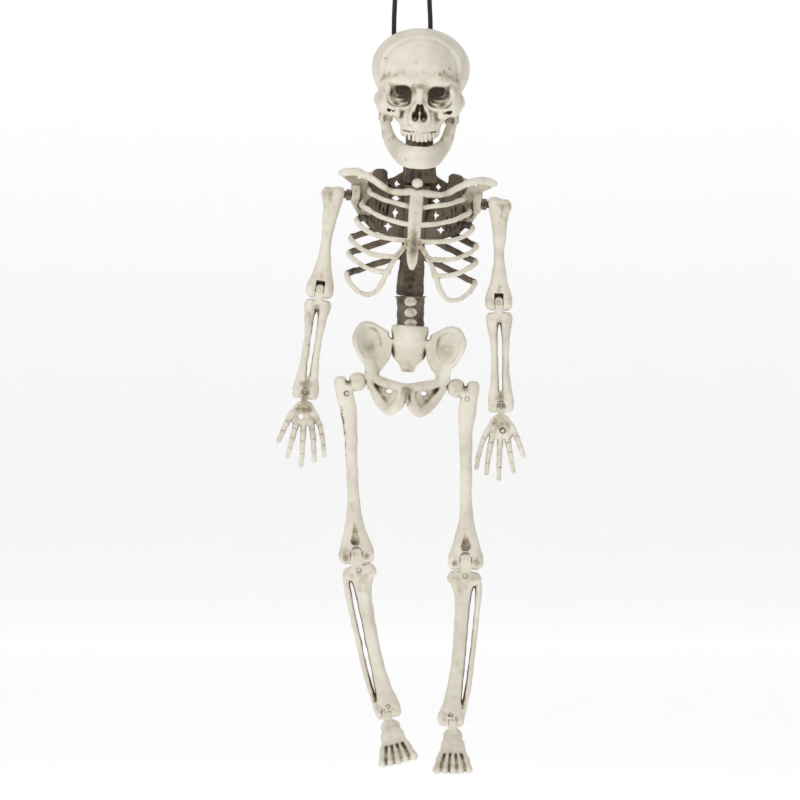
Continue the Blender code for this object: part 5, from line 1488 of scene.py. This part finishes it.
def build_pelvis():
    """The pelvis: a cupped wing each side, the tail bone between, and two rings in front."""
    low, high = (-33.0, -15.0, -47.0), (33.0, 15.6, 7.0)
    clay = Clay(low, high, 0.5)
    clay.add(stack([
        (-21.6, 0, 5.8, 3.2, 2.2), (-18.0, 0, 5.8, 4.8, 2.9), (-13.4, 0, 6.0, 8.8, 4.4),
        (-6.0, 0, 6.0, 10.0, 7.2),
        (-3.4, 0, 5.6, 9.3, 8.8), (0.0, 0, 5.4, 10.0, 9.6), (3.4, 0, 5.4, 10.0, 9.4),
    ], 2.3, 0.9))
    for side in SIDES.values():
        rim = [
            (8.8, 1.6, -4.6), (14.4, 1.6, -0.8), (20.3, 0.6, 3.2), (26.0, -2.0, 3.0), (30.0, -6.0, -3.6),
            (28.8, -8.0, -9.5), (24.0, -5.6, -17.8), (21.4, -3.0, -24.6), (14.6, -0.6, -21.6),
            (9.6, 1.4, -13.5),
        ]
        clay.add(blade(mirrored(rim, side), (side * 20.0, 3.4, -8.6), 2.7), 0.6)
        crest = [
            (12.6, 2.6, -1.8), (20.3, 1.8, 2.4), (25.8, -0.8, 2.2), (29.2, -4.8, -3.8),
            (28.0, -6.8, -9.4), (24.2, -4.6, -16.4),
        ]
        clay.add(tube(smooth_line(mirrored(crest, side), 30), 1.5), 0.5)
        clay.score(ellipsoid((side * 21.2, -2.0, -7.4), (6.6, 12.0, 8.6)), 0.5)
        clay.add(tube(mirrored([(20.8, -2.0, -17.0), (18.6, -0.6, -23.6)], side), [2.4, 3.4]), 1.2)
        upper = smooth_line(mirrored(
            [(20.4, -0.4, -24.6), (14.4, -4.4, -27.4), (8.0, -8.4, -29.0), (0.6, -11.2, -30.6)], side
        ), 16)
        clay.add(tube(upper, 2.6), 1.6)
        lower = smooth_line(mirrored([
            (18.9, -0.4, -25.0), (18.2, -1.6, -30.5), (15.9, -3.6, -35.2), (12.6, -6.2, -39.8),
            (8.4, -8.6, -42.6), (4.8, -10.2, -40.6), (2.6, -11.0, -36.4), (2.0, -11.4, -32.0),
        ], side), 30)
        clay.add(tube(lower, np.interp(np.linspace(0, 1, 30), (0, 0.4, 0.65, 1), (2.5, 2.6, 3.0, 2.5))), 1.0)
        clay.add(disc((side * 17.6, *HIP[1:]), (1, 0, 0), 3.9, 3.6, 0.8), 0.8)
        window = [
            (17.6, -1.0, -27.0), (17.4, -1.8, -31.0), (15.0, -3.8, -35.6), (12.0, -6.2, -39.6),
            (8.4, -8.4, -41.6), (5.0, -10.0, -39.4), (2.4, -10.8, -34.4), (6.0, -9.4, -30.0),
            (12.0, -6.0, -28.0),
        ]
        clay.add(blade(mirrored(window, side), (side * 10.4, -6.8, -34.4), 2.2), 1.4)
    clay.wobble(8.0, 0.13, 23).remember()
    for side in SIDES.values():
        clay.cut(tube([(side * 10.4, -1.0, -4.6), (side * 9.6, 0.6, -13.0)], [0.4, 0.3]), 0.3)
        clay.cut(ellipsoid((side * 11.4, -9.8, -33.4), (4.4, 4.0, 3.2)), 0.7)
        clay.cut(ellipsoid((side * 8.8, -11.6, -36.6), (2.4, 4.0, 3.4)), 0.7)
        clay.cut(ellipsoid((side * 9.4, -7.0, -32.6), (1.8, 6.0, 1.2)), 0.2)
    clay.cut(ellipsoid((1.0, -13.8, -36.0), (1.6, 2.6, 4.6)), 0.4)
    clay.cut(ellipsoid((0.2, 4.0, -22.2), (0.9, 3.0, 1.6)), 0.4)
    collar = smooth_line([
        (-10.2, 1.6, -1.6), (-8.0, -1.6, -3.0), (0.0, -3.6, -4.2), (8.0, -1.6, -3.0), (10.2, 1.6, -1.6)
    ], 24)
    clay.cut(tube(collar, 0.95), 0.5)
    top, mouth, throat, floor = [
        unleaned((*LUMBAR_CENTRE[:2], z), PELVIS_TOP, PELVIS_TILT) for z in (-200.0, -209.6, -213.0, -216.9)
    ]
    for start, radius in ((mouth, 8.3), (throat, 4.8)):
        way = np.array(top) - np.array(start)
        middle = (np.array(top) + np.array(start)) / 2
        clay.cut(disc(middle, way, radius, np.linalg.norm(way) / 2, 0.0))
    way, middle = np.array(throat) - np.array(floor), (np.array(throat) + np.array(floor)) / 2
    clay.cut(disc(middle, way, 6.6, np.linalg.norm(way) / 2, 0.0))
    for side in SIDES.values():
        clay.cut(tube([(side * 17.0, *HIP[1:]), (side * 30.0, *HIP[1:])], HIP_PEG_RADIUS + 0.4))
    back = Clay(low, high, 0.5)
    back.field = clay.field.copy()
    seam = LUMBAR_CENTRE[1]
    clay.cut(slab((-60, seam - GAP / 2, -60), (60, 60, 40), 0.0))
    back.cut(slab((-60, -60, -60), (60, seam + GAP / 2, 40), 0.0))
    # Painted shade in the hollow of each wing.
    stains_and_shade = [((side * 20.6, -1.0, -8.0), 5.4, 0.12) for side in SIDES.values()]
    stains_and_shade += [((side * 10.4, -6.0, -34.4), 3.0, 0.3) for side in SIDES.values()]
    stains_and_shade += [((0.0, 2.0, -19.0), 3.0, 0.3)]
    piece("bone_pelvis_front", clay, "pelvis", IVORY, PELVIS_TOP, PELVIS_TILT, stains_and_shade=stains_and_shade)
    piece("bone_pelvis_back", back, "pelvis", IVORY, PELVIS_TOP, PELVIS_TILT)


def build_hip_pegs():
    for name, side in SIDES.items():
        y, z = HIP[1:]
        clay = Clay((side * 22.25 - 7.0, y - 2.4, z - 2.4), (side * 22.25 + 7.0, y + 2.4, z + 2.4), 0.3)
        clay.add(disc((side * 22.25, y, z), (1, 0, 0), HIP_PEG_RADIUS, 6.35, 0.4))
        piece(f"bone_hip_peg_{name}", clay, "pelvis", IVORY, PELVIS_TOP, PELVIS_TILT)


# ---------------------------------------------------------------- the whole figure

make_camera()
make_cord()
make_studio()
build_skull()
build_jaw()
build_neck()
build_ribcage_front()
build_ribcage_back()
build_shoulder_pegs()
build_lumbar()
build_pelvis()
build_hip_pegs()
for name, side in SIDES.items():
    build_hand(name, side, build_forearm(name, side, build_humerus(name, side)))
    build_foot(name, side, build_shin(name, side, build_femur(name, side)))

for name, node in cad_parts.items():
    if "_pin_" in name:
        node.data.materials.clear()
        node.data.materials.append(PIN)
